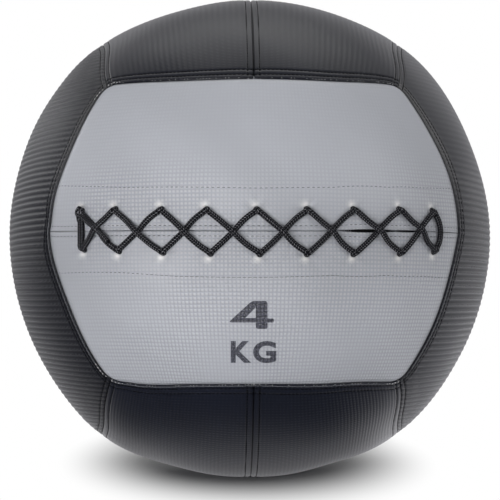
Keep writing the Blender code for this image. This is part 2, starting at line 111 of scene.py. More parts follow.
# The three seams that meet at a corner: the grey face's corner is rounded, so they meet a little inside it
class Corner:
    def __init__(self, octant):
        x, y, z = (axis * sign for axis, sign in zip((right, back, up), octant))
        rounding = ballShape["cornerRounding"]
        self.sharp = unit(x + y * ballShape["cornerDepth"] + z)
        self.ends = (splitEnd(y, x, ballShape["frontReach"]), splitEnd(z, y, ballShape["topReach"]))
        self.lengths = [ballRadius * math.acos(float(end @ self.sharp)) for end in self.ends]
        self.starts = [self.plain(end, 1 - rounding / length) for end, length in zip(self.ends, self.lengths)]
        self.rounded = unit(self.starts[0] / 4 + self.sharp / 2 + self.starts[1] / 4)

    # The seam before rounding; from the top and bottom splits it bows towards the grey face
    def plain(self, end, share):
        share = np.asarray(share, float)
        point = turn(end, self.sharp, share)
        if abs(end[0]) < 1e-9:
            bow = ballShape["edgeBow"] / ballRadius / math.hypot(end[0], end[2])
            lift = share * (1 - share) * 4 * bow
            point = point + back * math.copysign(1, end[1]) * lift[..., None]
        return unit(point)

    def seam(self, end, share):
        share = np.asarray(share, float)
        rounding = ballShape["cornerRounding"]
        for index, known in enumerate(self.ends):
            if np.allclose(end, known):
                left = (1 - share) * self.lengths[index]
                bend = np.clip((1 - left / rounding) / 2, 0, 1)[..., None]
                near, far = self.starts[index], self.starts[1 - index]
                curved = unit(near * (1 - bend) ** 2 + self.sharp * 2 * bend * (1 - bend) + far * bend**2)
                return np.where(left[..., None] < rounding, curved, self.plain(end, np.minimum(share, 1)))
        return turn(end, self.rounded, share)


corners = {octant: Corner(octant) for octant in octants}

# Rises and flats read from the photographed outline: place, rise in millimetres, spread in degrees
outlineSpots = (
    ((0.77, -0.1, 0.63), 2.6, 14),
    ((-0.86, -0.1, 0.5), 1.7, 14),
    ((-0.72, -0.1, 0.7), 1, 14),
    ((-0.4, -0.1, 0.92), -1.3, 14),
    ((0.5, -0.1, -0.86), -1, 14),
    ((-0.337, -0.126, -0.933), -1.2, 9),
    ((0.297, -0.126, -0.947), -1.2, 8),
)
splitEnds = (
    (right, up, "sideReach", "sideEndRise"),
    (up, back, "topReach", "faceEndRise"),
    (back, right, "frontReach", "faceEndRise"),
)
surfaceSpots = []
for a, b in ((a, b) for a in signs for b in signs):
    for face, along, reach, rise in splitEnds:
        end = splitEnd(face * a, along * b, ballShape[reach])
        surfaceSpots.append((end, ballShape[rise], ballShape["riseSpread"]))
cornerRise = (ballShape["cornerRise"], ballShape["riseSpread"])
surfaceSpots += [(corner.sharp, *cornerRise) for corner in corners.values()]
surfaceSpots += [(unit(np.array(place)), rise * mm, radians(spread)) for place, rise, spread in outlineSpots]
surfaceSpots.append((-up, -ballShape["settleDepth"], ballShape["settleSpread"]))

# How the lacing draws the front in
valley = {"depth": 0.003, "reach": 0.035, "softening": 0.004, "fullness": 1.02}


def frontPlace(d):
    return np.arctan2(d[..., 0], -d[..., 1]) * ballRadius, np.arcsin(np.clip(d[..., 2], -1, 1)) * ballRadius


def frontValley(d):
    across, height = frontPlace(d)
    turned = across / ballRadius / ballShape["frontReach"]
    eased = np.sqrt(height**2 + valley["softening"] ** 2) / valley["reach"]
    amount = valley["depth"] * np.clip(1 - turned**2, 0, 1) * smooth((1 - eased) * valley["fullness"])
    return np.where(d[..., 1] < 0, amount, 0)


def surfaceRadius(d):
    radius = ballRadius - frontValley(d)
    for place, rise, spread in surfaceSpots:
        radius = radius + rise * hump(angleTo(d, place), spread)
    return radius


# Slow dents and swells, the same on every run: steepness along x, y and z, and phase
swell = {
    "depth": 0.00022,
    "waves": ((7, 3, 5, 0.4), (-5, 8, 4, 1.9), (11, -6, 9, 3.1), (4, 13, -10, 0.9), (16, 9, 12, 5.2)),
}


def swells(d):
    x, y, z = d[..., 0], d[..., 1], d[..., 2]
    total = sum(np.sin(x * a + y * b + z * c + phase) for a, b, c, phase in swell["waves"])
    return total * swell["depth"] / 2


# Where the sewn seams wander from the even layout: place, shift in millimetres, spread in degrees
seamNudges = [
    ((0, -1, 0), (0, 0, -1.9), 30),
    ((0.74, -0.65, 0.19), (4.2, 5.0, 0), 13),
    ((-0.55, -0.60, -0.54), (2.2, -1.0, 0), 13),
    ((-0.68, -0.65, -0.33), (1.0, -1.0, 0), 13),
    ((0.794, -0.524, 0.308), (2.2, 3.4, 0), 10),
    ((0.865, -0.5, 0), (1.0, 1.8, 0), 11),
    ((0.72, -0.595, -0.36), (2.35, 3.67, -1.37), 12),
    ((-0.352, -0.715, -0.604), (-1.1, 2.15, -1.9), 10),
    ((0.21, -0.758, -0.617), (0, 1.19, -1.46), 9),
    ((0.398, -0.621, 0.675), (0.7, 1.83, 1.27), 9),
    ((-0.806, -0.568, 0.167), (-1.7, 2.41, 0), 6),
    ((-0.806, -0.585, -0.092), (-1.7, 2.35, 0), 6),
    ((-0.82, -0.57, 0.03), (0, 0, 1.0), 8),
    ((0.794, -0.524, 0.308), (1.6, 2.5, 0), 9),
    ((0.731, -0.486, 0.479), (2.2, 4.6, 1.3), 9),
    ((-0.54, -0.594, -0.596), (1.4, -2.78, 1.5), 7),
    ((-0.82, -0.57, 0.03), (3.6, -5.2, 0), 4.5),
]
seamNudges += [((x * 0.613, y * 0.328, z * 0.719), (-x * 6.5, 0, z * 2), 14) for x, y, z in octants]
nudges = []
for place, shift, spread in seamNudges:
    nudges.append((unit(np.array(place, float)), np.array(shift) * mm / ballRadius, radians(spread)))


def nudged(d):
    moved = d
    for place, shift, spread in nudges:
        moved = moved + hump(angleTo(d, place), spread)[..., None] * shift
    return unit(moved)


# One of the twelve cover panels: u runs along its split, v from there to its far side
class Panel:
    def __init__(self, group, half, face, along, side, reach, nextReach, edges):
        self.name, self.group, self.face, self.along, self.side = f"{group}_{half}", group, face, along, side
        self.splitKind, self.sideKind, self.farKind = edges
        self.kinds = (self.splitKind, self.farKind, self.sideKind, self.sideKind)
        self.laced = self.splitKind == "slit"
        self.ends = [splitEnd(face, along * sign, reach) for sign in signs]
        self.corners = [corners[tuple(np.sign(face + side + along * sign).astype(int))] for sign in signs]
        self.apex = splitEnd(side, face, nextReach)
        self.steps = np.linspace(0, 1, samples["panel"])
        self.widths = [self.span(lambda t, v=v: self.direction(t, np.full_like(t, v))) for v in self.steps]
        self.heights = [self.span(lambda t, u=u: self.direction(np.full_like(t, u), t)) for u in self.steps]

    def span(self, path):
        points = path(np.linspace(0, 1, samples["span"]))
        return float(np.linalg.norm(np.diff(points, axis=0), axis=1).sum()) * ballRadius

    def width(self, v):
        return np.interp(v, self.steps, self.widths)

    def height(self, u):
        return np.interp(u, self.steps, self.heights)

    def direction(self, u, v):
        u, v = np.broadcast_arrays(np.asarray(u, float), np.asarray(v, float))
        first = self.corners[0].seam(self.apex, np.clip(1 - 2 * u, 0, 1))
        second = self.corners[1].seam(self.apex, np.clip(2 * u - 1, 0, 1))
        ruled = turn(turn(*self.ends, u), np.where((u <= 0.5)[..., None], first, second), v)
        for end, corner, share in zip(self.ends, self.corners, (1 - u, u)):
            bent = corner.seam(end, np.clip(v, 0, 1)) - turn(end, corner.rounded, np.clip(v, 0, 1))
            ruled = ruled + bent * share[..., None]
        return nudged(unit(ruled))

    def halfGap(self, u):
        return slitHalfGap((u - 0.5) * self.width(0)) if self.laced else np.full_like(u, seamShape["gap"])


# Pixels of the photograph where the lace goes through, turned into millimetres round the front
photoView = {
    "distance": 6 * ballRadius,
    "azimuth": radians(-1.1),
    "elevation": radians(-2.5),
    "pixelsPerTangent": 1420,
    "ballPixel": (249.5, 240.0),
    "imageSize": 500,
    "sensor": 36,
}


def cameraFrame():
    a, e = photoView["azimuth"], photoView["elevation"]
    half, (ballX, ballY) = photoView["imageSize"] / 2, photoView["ballPixel"]
    backward = np.array([math.sin(a) * math.cos(e), -math.cos(a) * math.cos(e), math.sin(e)])
    sideways = unit(np.cross(up, backward))
    upwards = np.cross(backward, sideways)
    shift = (sideways * (half - ballX) + upwards * (ballY - half)) / photoView["pixelsPerTangent"]
    ahead = unit(shift - backward)
    sideways = unit(np.cross(ahead, up))
    return ballMiddle + backward * photoView["distance"], ahead, sideways, np.cross(sideways, ahead)


cameraPlace, cameraAhead, cameraRight, cameraUp = cameraFrame()


# Where the lines of sight through pixels meet the front: places across and up, along the surface
def pixelToFront(px, py):
    half = photoView["imageSize"] / 2
    px, py = (np.asarray(value, float)[..., None] for value in (px, py))
    aside = cameraRight * (px - half) - cameraUp * (py - half)
    ray = unit(cameraAhead + aside / photoView["pixelsPerTangent"])
    offset = cameraPlace - ballMiddle
    b = ray @ offset
    hit = unit(offset + ray * (-b - np.sqrt(b * b - offset @ offset + ballRadius**2))[..., None])
    return frontPlace(hit)


def frontDirection(across, height):
    turned, raised = np.asarray(across) / ballRadius, np.asarray(height) / ballRadius
    flat = np.cos(raised)
    return np.stack([np.sin(turned) * flat, -np.cos(turned) * flat, np.sin(raised) + 0 * turned], -1)


lacing = {
    "topPixelsX": (82, 114, 160, 206, 257, 308, 355, 400, 432),
    "topPixelsY": (210.5, 208.7, 208.7, 208.7, 208.7, 208.5, 208.5, 208.7, 210.5),
    "bottomPixelsX": (84, 118, 162, 210, 260, 308, 355, 401, 433),
    "bottomPixelsY": (250, 251.5, 253, 254, 254.5, 254.5, 254.5, 254, 252),
    "holeRadius": 2.0 * mm,
    "holeLength": 1.15,
    "holeRings": 2,
    "blendRings": 6,
    "ringTightness": 0.8,
    "dimple": 0.9 * mm,
    "dimpleSpread": 4.2 * mm,
    "pucker": 0.45 * mm,
    "puckerFolds": 6,
    "puckerVariety": 90,
    "puckerReach": 6.5 * mm,
    "puckerSpread": 4 * mm,
    "highlightSpread": 1.8 * mm,
    "highlightWidth": 1.3,
    "highlightAside": 1.4 * mm,
    "highlightOut": 2.9 * mm,
}
topHoles = [pixelToFront(x, y) for x, y in zip(lacing["topPixelsX"], lacing["topPixelsY"])]
bottomHoles = [pixelToFront(x, y) for x, y in zip(lacing["bottomPixelsX"], lacing["bottomPixelsY"])]
holesOf = {"front_upper": topHoles, "front_lower": bottomHoles}

# The slit: nearly shut on the left, open between the lace on the right.
# An opening has its half width, and its middle and reach in pixels of the photograph
gape = {"shut": 0.11 * mm, "level": 230.5, "openings": ((1.0 * mm, 372, 30), (0.62 * mm, 408, 17))}


def slitHalfGap(across):
    half = np.full_like(across, gape["shut"])
    for width, pixel, spread in gape["openings"]:
        middle = pixelToFront(pixel, gape["level"])[0]
        reach = pixelToFront(pixel + spread, gape["level"])[0] - middle
        half = np.maximum(half, width * np.clip(1 - ((across - middle) / reach) ** 2, 0, 1))
    return half


# How a panel's surface runs towards each kind of edge, by distance from the seam
seamShape = {
    "foldRadius": 1.3 * mm,
    "foldDepth": 1.4 * mm,
    "foldFlange": 1.4 * mm,
    "stitchRows": {"plain": (3.9 * mm,), "over": (3.5 * mm, 7.8 * mm), "overSide": (3.0 * mm, 5.9 * mm)},
    "stitchSink": {"plain": 0.5 * mm, "over": 0.5 * mm, "overSide": 0.34 * mm},
    "stitchSpread": 0.8 * mm,
    # The painted sheen band along the side seams: its width, its fade, and the height it rises from and over
    "sheenBand": 5 * mm,
    "sheenBandFade": 4 * mm,
    "wornFrom": -0.02,
    "sheenBandRise": 0.4,
    "pull": 0.5 * mm,
    "pullReach": 9 * mm,
    "lapRadius": 0.8 * mm,
    "lapDepth": 0.9 * mm,
    "lapRise": 0.3 * mm,
    "lapRiseReach": 11 * mm,
    "lapReach": 2.4 * mm,
    "lapTop": 1.5 * mm,
    "lapThickness": 0.5 * mm,
    "underDepth": 1.35 * mm,
    "underReach": 3.4 * mm,
    "underFall": 1.4,
    "beadPitch": 3.2 * mm,
    "beadShare": 0.15,
    "beadDepth": 0.14 * mm,
    "beadPlace": 1.3 * mm,
    "beadSpread": 1.1 * mm,
    "hemRadius": 0.8 * mm,
    "hemDepth": 0.9 * mm,
    "hemStitch": 3.1 * mm,
    "hemSink": 0.22 * mm,
    "hemFlange": 3.2 * mm,
    "wall": 1.2 * mm,
    "leastWall": 0.25 * mm,
    "flange": 5 * mm,
    "deepest": 2.6 * mm,
    "grooveShadeDepth": 1.6 * mm,
    "gap": 0.1 * mm,
    "aboveFloor": 0.15 * mm,
}


def quarterRound(distance, radius, depth):
    x = np.clip(1 - distance / radius, 0, 1)
    return -depth * (1 - np.sqrt(1 - x**2))


def edgeHeight(kind, distance, along):
    s = seamShape
    bead = np.cos(along * 2 * pi / s["beadPitch"])
    if kind == "under":
        reach = np.maximum(distance, 0) / s["underReach"]
        return -s["underDepth"] * np.exp(-(reach ** s["underFall"]))
    if kind == "slit":
        height = quarterRound(distance, s["hemRadius"], s["hemDepth"])
        return height - s["hemSink"] * hump(distance - s["hemStitch"], s["stitchSpread"])
    height = -s["pull"] * np.exp(-distance / s["pullReach"])
    sink = s["stitchSink"][kind] * (1 - s["beadShare"] + s["beadShare"] * bead)
    for offset in s["stitchRows"][kind]:
        height = height - sink * hump(distance - offset, s["stitchSpread"])
    if kind == "plain":
        return height + quarterRound(distance, s["foldRadius"], s["foldDepth"])
    height = height + quarterRound(distance, s["lapRadius"], s["lapDepth"])
    height = height + s["lapRise"] * (1 - smooth(distance / s["lapRiseReach"]))
    return height + s["beadDepth"] * bead * hump(distance - s["beadPlace"], s["beadSpread"])


panels = {}
plainEdges, greyEdges = ("plain", "over", "plain"), ("plain", "under", "under")
sideEdges = ("plain", "plain", "overSide")
for group, face, along, side, halves, reach, nextReach, edges in (
    ("front", -back, right, up, ("upper", "lower"), "frontReach", "topReach", ("slit", "under", "under")),
    ("rear", back, right, up, ("upper", "lower"), "frontReach", "topReach", greyEdges),
    ("top", up, back, right, ("right", "left"), "topReach", "sideReach", plainEdges),
    ("bottom", -up, back, right, ("right", "left"), "topReach", "sideReach", plainEdges),
    ("left", -right, up, back, ("rear", "front"), "sideReach", "frontReach", sideEdges),
    ("right", right, up, back, ("rear", "front"), "sideReach", "frontReach", sideEdges),
):
    for half, sign in zip(halves, (1, -1)):
        made = Panel(group, half, face, along, side * sign, ballShape[reach], ballShape[nextReach], edges)
        panels[made.name] = made
print("panels laid out:", len(panels))

# Distances of the mesh's lines from a seam and from the slit, close together where the surface bends
nearSeam = (0, 0.2, 0.4, 0.65, 0.95, 1.3, 1.7, 2.2, 2.7, 3.1, 3.5, 3.9, 4.3, 4.7, 5.2, 5.8, 6.4, 7)
nearSlit = (0, 0.15, 0.35, 0.6, 0.9, 1.4, 2, 2.6, 3, 3.3, 3.6, 3.9, 4.2, 4.6, 5.2, 6, 7, 8.2, 9.5)
seamLines = np.array(nearSeam + (7.4, 7.8, 8.2, 8.7, 9.4, 10.5, 12.5, 15, 18)) * mm
slitLines = np.array(nearSlit) * mm
gridStep = {"front": 1.4 * mm, "rib": 0.8 * mm, "other": 3.2 * mm}


def spreadLines(length, near, far, count):
    length = np.asarray(length, float)[..., None]
    inner = np.linspace(0, 1, count + 1)[1:-1]
    middle = near[-1] + (length - near[-1] - far[-1]) * inner
    nearPart = np.broadcast_to(near, (*length.shape[:-1], len(near)))
    return np.concatenate([nearPart, middle, length - far[::-1]], -1)


def linked(name, data):
    made = bpy.data.objects.new(name, data)
    scene.collection.objects.link(made)
    return made


def makeMesh(name, points, faces, material):
    used, faces = np.unique(np.asarray(faces, np.int64), return_inverse=True)
    faces = faces.reshape(-1, 4).astype(np.int32)
    mesh = bpy.data.meshes.new(name)
    mesh.vertices.add(len(used))
    mesh.vertices.foreach_set("co", np.asarray(points, np.float32)[used].ravel())
    mesh.loops.add(faces.size)
    mesh.loops.foreach_set("vertex_index", faces.ravel())
    mesh.polygons.add(len(faces))
    mesh.polygons.foreach_set("loop_start", np.arange(0, faces.size, 4, dtype=np.int32))
    mesh.update(calc_edges=True)
    mesh.polygons.foreach_set("use_smooth", np.full(len(faces), True))
    mesh.materials.append(material)
    return linked(name, mesh), used


def setFloats(mesh, name, values):
    attribute = mesh.attributes.new(name, "FLOAT", "POINT")
    attribute.data.foreach_set("value", np.asarray(values, np.float32))


def setWeaveMap(mesh, flat):
    layer = mesh.uv_layers.new(name="weave")
    spots = np.zeros(len(mesh.loops), np.int32)
    mesh.loops.foreach_get("vertex_index", spots)
    layer.data.foreach_set("uv", np.asarray(flat, np.float32)[spots].ravel())


def gridFaces(rows, columns):
    i, j = np.indices((rows - 1, columns - 1))
    a = i * columns + j
    return np.stack([a, a + columns, a + columns + 1, a + 1], -1)


def borderLoop(rows, columns):
    grid = np.arange(rows * columns).reshape(rows, columns)
    away = np.concatenate([grid[0, :-1], grid[:-1, -1], grid[-1, :0:-1]])
    onSplit = np.arange(len(away) + rows - 1) >= len(away)
    return np.concatenate([away, grid[:0:-1, 0]]), onSplit


def ringFaces(first, second):
    return np.stack([first, second, np.roll(second, -1), np.roll(first, -1)], 1)


# Height of a panel's face above the plain ball, by its distances from its split, far side and two ends
def panelHeight(panel, d, u, v, halfGap):
    width, height = panel.width(v), panel.height(u)
    along, across = u * width, v * height
    distances = (across - halfGap, (1 - v) * height, along, (1 - u) * width)
    total = sum(edgeHeight(*edge) for edge in zip(panel.kinds, distances, (along, along, across, across)))
    return np.maximum(total, -seamShape["deepest"]) + swells(d), distances


# What the drawn lace does to the cover round a hole
def laceDent(x, y, holes):
    total = 0
    for cx, cy in holes:
        r, turned = np.hypot(x - cx, y - cy), np.arctan2(y - cy, x - cx)
        folds = np.cos(turned * lacing["puckerFolds"] + cx * lacing["puckerVariety"])
        total = total - lacing["dimple"] * hump(r, lacing["dimpleSpread"])
        total = total + lacing["pucker"] * folds * hump(r - lacing["puckerReach"], lacing["puckerSpread"]) / 2
    return total


def weaveMap(panel, d, u, v):
    if panel.group in ("top", "bottom"):
        return np.stack([(u - 0.5) * panel.width(0.5), v * panel.height(0.5)], -1)
    if panel.group in ("left", "right"):
        turned = np.arctan2(d[..., 1], np.abs(d[..., 0]))
    else:
        turned = np.arctan2(d @ panel.along, d @ panel.face)
    return np.stack([turned, np.arcsin(d @ up)], -1) * ballRadius


def toWorld(d, radius, aboveFloor=seamShape["aboveFloor"]):
    points = ballMiddle + d * radius[..., None]
    points[..., 2] = np.maximum(points[..., 2], aboveFloor)
    return points


# Ribs of the black weave, raised in the mesh; the finer cross ribs are in the material
rib = {
    "pitch": {"left": 4.0 * mm, "right": 4.4 * mm, "top": 4.1 * mm, "bottom": 2.6 * mm},
    "height": {"left": 0.44 * mm, "right": 0.48 * mm, "top": 0.1 * mm, "bottom": 0.03 * mm},
    "middle": 0.1,
    "topFade": (0.14, 0.28),
    "topFaintest": 0.08,
    "rightFade": (0.02, 0.3),
    "flatterRight": 0.9,
    "fadeFrom": 1.2 * mm,
    "fadeSeam": {"left": 12 * mm, "right": 8 * mm, "top": 5 * mm, "bottom": 5 * mm},
}


def ribRelief(panel, d, u, flatMap, distances):
    group, clear = panel.group, 1
    if group not in rib["pitch"]:
        return 0
    if group == "top":
        start, run = rib["topFade"]
        clear = rib["topFaintest"] + (1 - rib["topFaintest"]) * smooth((np.minimum(u, 1 - u) - start) / run)
    if group == "right":
        start, run = rib["rightFade"]
        clear = 1 - rib["flatterRight"] * smooth((d[..., 2] - start) / run)
    for distance in distances:
        clear = clear * smooth((distance - rib["fadeFrom"]) / rib["fadeSeam"][group])
    wave = 0.5 * np.cos(2 * pi * flatMap[..., 1] / rib["pitch"][group]) - rib["middle"]
    return rib["height"][group] * clear * wave


# Real holes in a laced panel: rings of the grid move on to each hole's edge, and what they hold is left out
def punchedGrid(d, holes):
    x, y = frontPlace(d)
    keep = np.ones((x.shape[0] - 1, x.shape[1] - 1), bool)
    i, j = np.indices(x.shape)
    n, loops = lacing["holeRings"], []
    for cx, cy in holes:
        row, column = np.unravel_index(np.argmin(np.hypot(x - cx, y - cy)), x.shape)
        ring = np.maximum(np.abs(i - row), np.abs(j - column)) - n
        turned = np.arctan2(y - y[row, column], x - x[row, column])
        radius = lacing["holeRadius"] + ring * gridStep["front"] * lacing["ringTightness"]
        share = smooth(ring / lacing["blendRings"])
        moved = (ring >= 0) & (ring < lacing["blendRings"])
        longer = 1 + (lacing["holeLength"] - 1) * (1 - share)
        x = np.where(moved, cx * (1 - share) + np.cos(turned) * radius * longer * (1 - share) + x * share, x)
        y = np.where(moved, cy * (1 - share) + np.sin(turned) * radius * (1 - share) + y * share, y)
        keep[row - n : row + n, column - n : column + n] = False
        spots = [(-n, k) for k in range(-n, n)] + [(k, n) for k in range(-n, n)]
        spots += [(n, -k) for k in range(-n, n)] + [(-k, -n) for k in range(-n, n)]
        loops.append(np.array([(row + a) * x.shape[1] + column + b for a, b in spots]))
    return frontDirection(x, y), keep, loops


# The mesh's lines over a panel: shares along its split and across it, and half the gap at each
def panelGrid(panel):
    widest, tallest = panel.width(0.5), panel.height(0.5)
    counts = []
    for length, ribbed in ((widest, ("left", "right")), (tallest, ("top", "bottom"))):
        step = gridStep["front" if panel.laced else "rib" if panel.group in ribbed else "other"]
        counts.append(int(round((length - 2 * seamLines[-1]) / step)))
    roughU = spreadLines(widest, seamLines, seamLines, counts[0]) / widest
    halfGap, height = panel.halfGap(roughU)[:, None], panel.height(roughU)[:, None]
    v = spreadLines((height - halfGap)[:, 0], slitLines if panel.laced else seamLines, seamLines, counts[1])
    v = (v + halfGap) / height
    width = panel.width(v)
    lines = spreadLines(width, seamLines, seamLines, counts[0])
    u = np.stack([line[:, i] for i, line in enumerate(lines)], 0) / width
    return u, v, halfGap


# How much further in the inner face lies along folded seams and the slit's hem
def foldedIn(panel, distances):
    s, depth = seamShape, 0
    for kind, distance in zip(panel.kinds, distances):
        if kind == "plain":
            depth = np.maximum(depth, s["flange"] * (distance < s["foldFlange"]))
        if kind == "slit":
            depth = np.maximum(depth, s["wall"] * (distance < s["hemFlange"]))
    return depth


# The edge of a grey panel, turned in under its neighbours except along the split
def lapPoints(d, loop, onSplit, outer, flip):
    s, flat = seamShape, d.reshape(-1, 3)[loop]
    tangent = unit(np.roll(flat, -1, 0) - np.roll(flat, 1, 0) + 1e-12)
    outward = unit(np.cross(flat, tangent)) * (-1 if flip else 1)
    lapDirection = unit(flat + outward * np.where(onSplit, 0, s["lapReach"])[:, None] / ballRadius)
    top = np.where(onSplit, outer.reshape(-1)[loop], surfaceRadius(lapDirection) - s["lapTop"])
    return [toWorld(lapDirection, top - lower) for lower in (0, s["lapThickness"])]


# Painted highlights: pale patches beside the lace holes, where the puckered cover catches light, and a painted
# sheen along the side seams, growing towards the top
def paintedHighlights(panel, d, distances, holes):
    s, paintedHighlight = seamShape, np.zeros(d.shape[:2])
    if panel.laced:
        x, y = frontPlace(d)
        outwards = lacing["highlightOut"] * (1 if panel.name == "front_upper" else -1)
        for cx, cy in holes:
            r = np.hypot((x - cx + lacing["highlightAside"]) / lacing["highlightWidth"], y - cy - outwards)
            paintedHighlight = np.maximum(paintedHighlight, hump(r, lacing["highlightSpread"]))
    elif panel.farKind == "overSide":
        band = 1 - smooth((distances[1] - s["sheenBand"]) / s["sheenBandFade"])
        paintedHighlight = band * smooth((d[..., 2] - s["wornFrom"]) / s["sheenBandRise"])
    return paintedHighlight.ravel()


def makeCover(panel, material):
    holes = holesOf.get(panel.name, [])
    u, v, halfGap = panelGrid(panel)
    rows, columns = u.shape
    count = rows * columns
    d = panel.direction(u, v)
    rise, distances = panelHeight(panel, d, u, v, halfGap)
    faces, loops = gridFaces(rows, columns), []
    if panel.laced:
        d, keep, loops = punchedGrid(d, holes)
        faces = faces[keep]
        rise = rise + laceDent(*frontPlace(d), holes)
    faces = faces.reshape(-1, 4)
    flatMap = weaveMap(panel, d, u, v)
    rise = rise + ribRelief(panel, d, u, flatMap, distances)
    base = surfaceRadius(d)
    outer, inner = base + rise, base + np.minimum(-seamShape["wall"], rise - seamShape["leastWall"])
    points = [toWorld(d, outer).reshape(-1, 3), toWorld(d, inner - foldedIn(panel, distances)).reshape(-1, 3)]
    flip = np.cross(panel.along, panel.side) @ panel.face < 0
    loop, onSplit = borderLoop(rows, columns)
    laps = lapPoints(d, loop, onSplit, outer, flip) if panel.farKind == "under" else []
    lapRings = [np.arange(len(loop)) + 2 * count + index * len(loop) for index in range(len(laps))]
    rings = [loop, *lapRings, loop + count]
    allFaces = [faces, faces[:, ::-1] + count]
    allFaces += [ringFaces(first, second) for first, second in zip(rings, rings[1:])]
    allFaces += [ringFaces(ring + count, ring) for ring in loops]
    faces = np.concatenate(allFaces)
    faces = faces[:, ::-1] if flip else faces
    made, used = makeMesh(f"panel_{panel.name}", np.concatenate(points + laps), faces, material)
    # Painted shade: darker where the face sinks into a seam's groove, and wholly dark on the inner face and
    # the turned-in laps
    grooveShade = np.clip(-rise / seamShape["grooveShadeDepth"], 0, 1).ravel()
    paintedHighlight = paintedHighlights(panel, d, distances, holes)
    flatMap = flatMap.reshape(-1, 2)
    edge = np.ones(len(loop) * len(laps))
    setWeaveMap(made.data, np.concatenate([flatMap, flatMap] + [flatMap[loop]] * len(laps))[used])
    setFloats(made.data, "grooveShade", np.concatenate([grooveShade, np.ones(count), edge])[used])
    setFloats(made.data, "paintedHighlight", np.concatenate([paintedHighlight, paintedHighlight, edge * 0])[used])
    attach(made, "root")
    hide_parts(f"cover_{panel.name}")
    return made


# Building node trees: a small kit first
class Kit:
    def __init__(self, tree):
        self.tree = tree

    def feed(self, made, inputs):
        for key, value in inputs.items():
            if isinstance(value, bpy.types.NodeSocket):
                self.tree.links.new(value, made.inputs[key])
            else:
                made.inputs[key].default_value = value
        return made

    def add(self, kind, inputs=None, **settings):
        made = self.tree.nodes.new(kind)
        for key, value in settings.items():
            setattr(made, key, value)
        return self.feed(made, inputs or {})

    def maths(self, operation, a, b=0.0, c=0.0):
        return self.add("ShaderNodeMath", {0: a, 1: b, 2: c}, operation=operation).outputs[0]

    def scaled(self, a, b):
        return self.maths("MULTIPLY", a, b)

    def vectorMaths(self, operation, a, b=(0, 0, 0), result="Vector"):
        return self.add("ShaderNodeVectorMath", {0: a, 1: b}, operation=operation).outputs[result]

    def mix(self, share, a, b):
        return self.add("ShaderNodeMix", {0: share, 2: a, 3: b}, data_type="FLOAT").outputs[0]

    def mixColour(self, share, a, b):
        a, b = ((*value, 1) if isinstance(value, tuple) else value for value in (a, b))
        return self.add("ShaderNodeMix", {0: share, 6: a, 7: b}, data_type="RGBA").outputs[2]

    def ramp(self, value, low, high, first, last):
        inputs = {0: value, 1: low, 2: high, 3: first, 4: last}
        return self.add("ShaderNodeMapRange", inputs, interpolation_type="SMOOTHSTEP").outputs[0]

    def noise(self, place, scale, detail):
        return self.add("ShaderNodeTexNoise", {"Vector": place, "Scale": scale, "Detail": detail}).outputs[0]

    def split(self, vector):
        return self.add("ShaderNodeSeparateXYZ", {0: vector}).outputs

    def place(self):
        return self.add("ShaderNodeTexCoord").outputs["Object"]

    def weaveMap(self):
        return self.add("ShaderNodeUVMap", uv_map="weave").outputs[0]

    def attribute(self, name):
        return self.add("ShaderNodeAttribute", attribute_name=name).outputs["Fac"]

    def bump(self, height, strength, distance):
        inputs = {"Strength": strength, "Distance": distance, "Height": height}
        return self.add("ShaderNodeBump", inputs).outputs[0]


def newMaterial(name):
    material = bpy.data.materials.new(name)
    material.use_nodes = True
    return material, Kit(material.node_tree), material.node_tree.nodes["Principled BSDF"]


# Inputs and outputs by name, each with its kind or its usual number
def newGroup(name, kind, inputs, outputs):
    tree = bpy.data.node_groups.new(name, kind)
    for way, sockets in (("INPUT", inputs), ("OUTPUT", outputs)):
        for label, value in sockets.items():
            word = {float: "Float", int: "Int"}.get(type(value), value)
            socket = tree.interface.new_socket(label, in_out=way, socket_type=f"NodeSocket{word}")
            if word != value:
                socket.default_value = value
    kit = Kit(tree)
    return kit, kit.add("NodeGroupInput").outputs


# Embossed weave: ribs across V with fine cross ribs along them, or dots in a checkered weave
embossing = {
    "Rib Pitch": 0.003,
    "Cross Pitch": 0.0014,
    "Cross Share": 0.3,
    "Dot Pitch": 0.0033,
    "Dot Share": 0.0,
    "Wander": 0.0004,
}
weaveShape = {
    "cloudScale": 14.0,
    "wanderScale": 60.0,
    "patchScale": 11.0,
    "patches": (0.36, 0.6, 0.5, 1.25),
    "dotMiddle": 0.4,
}


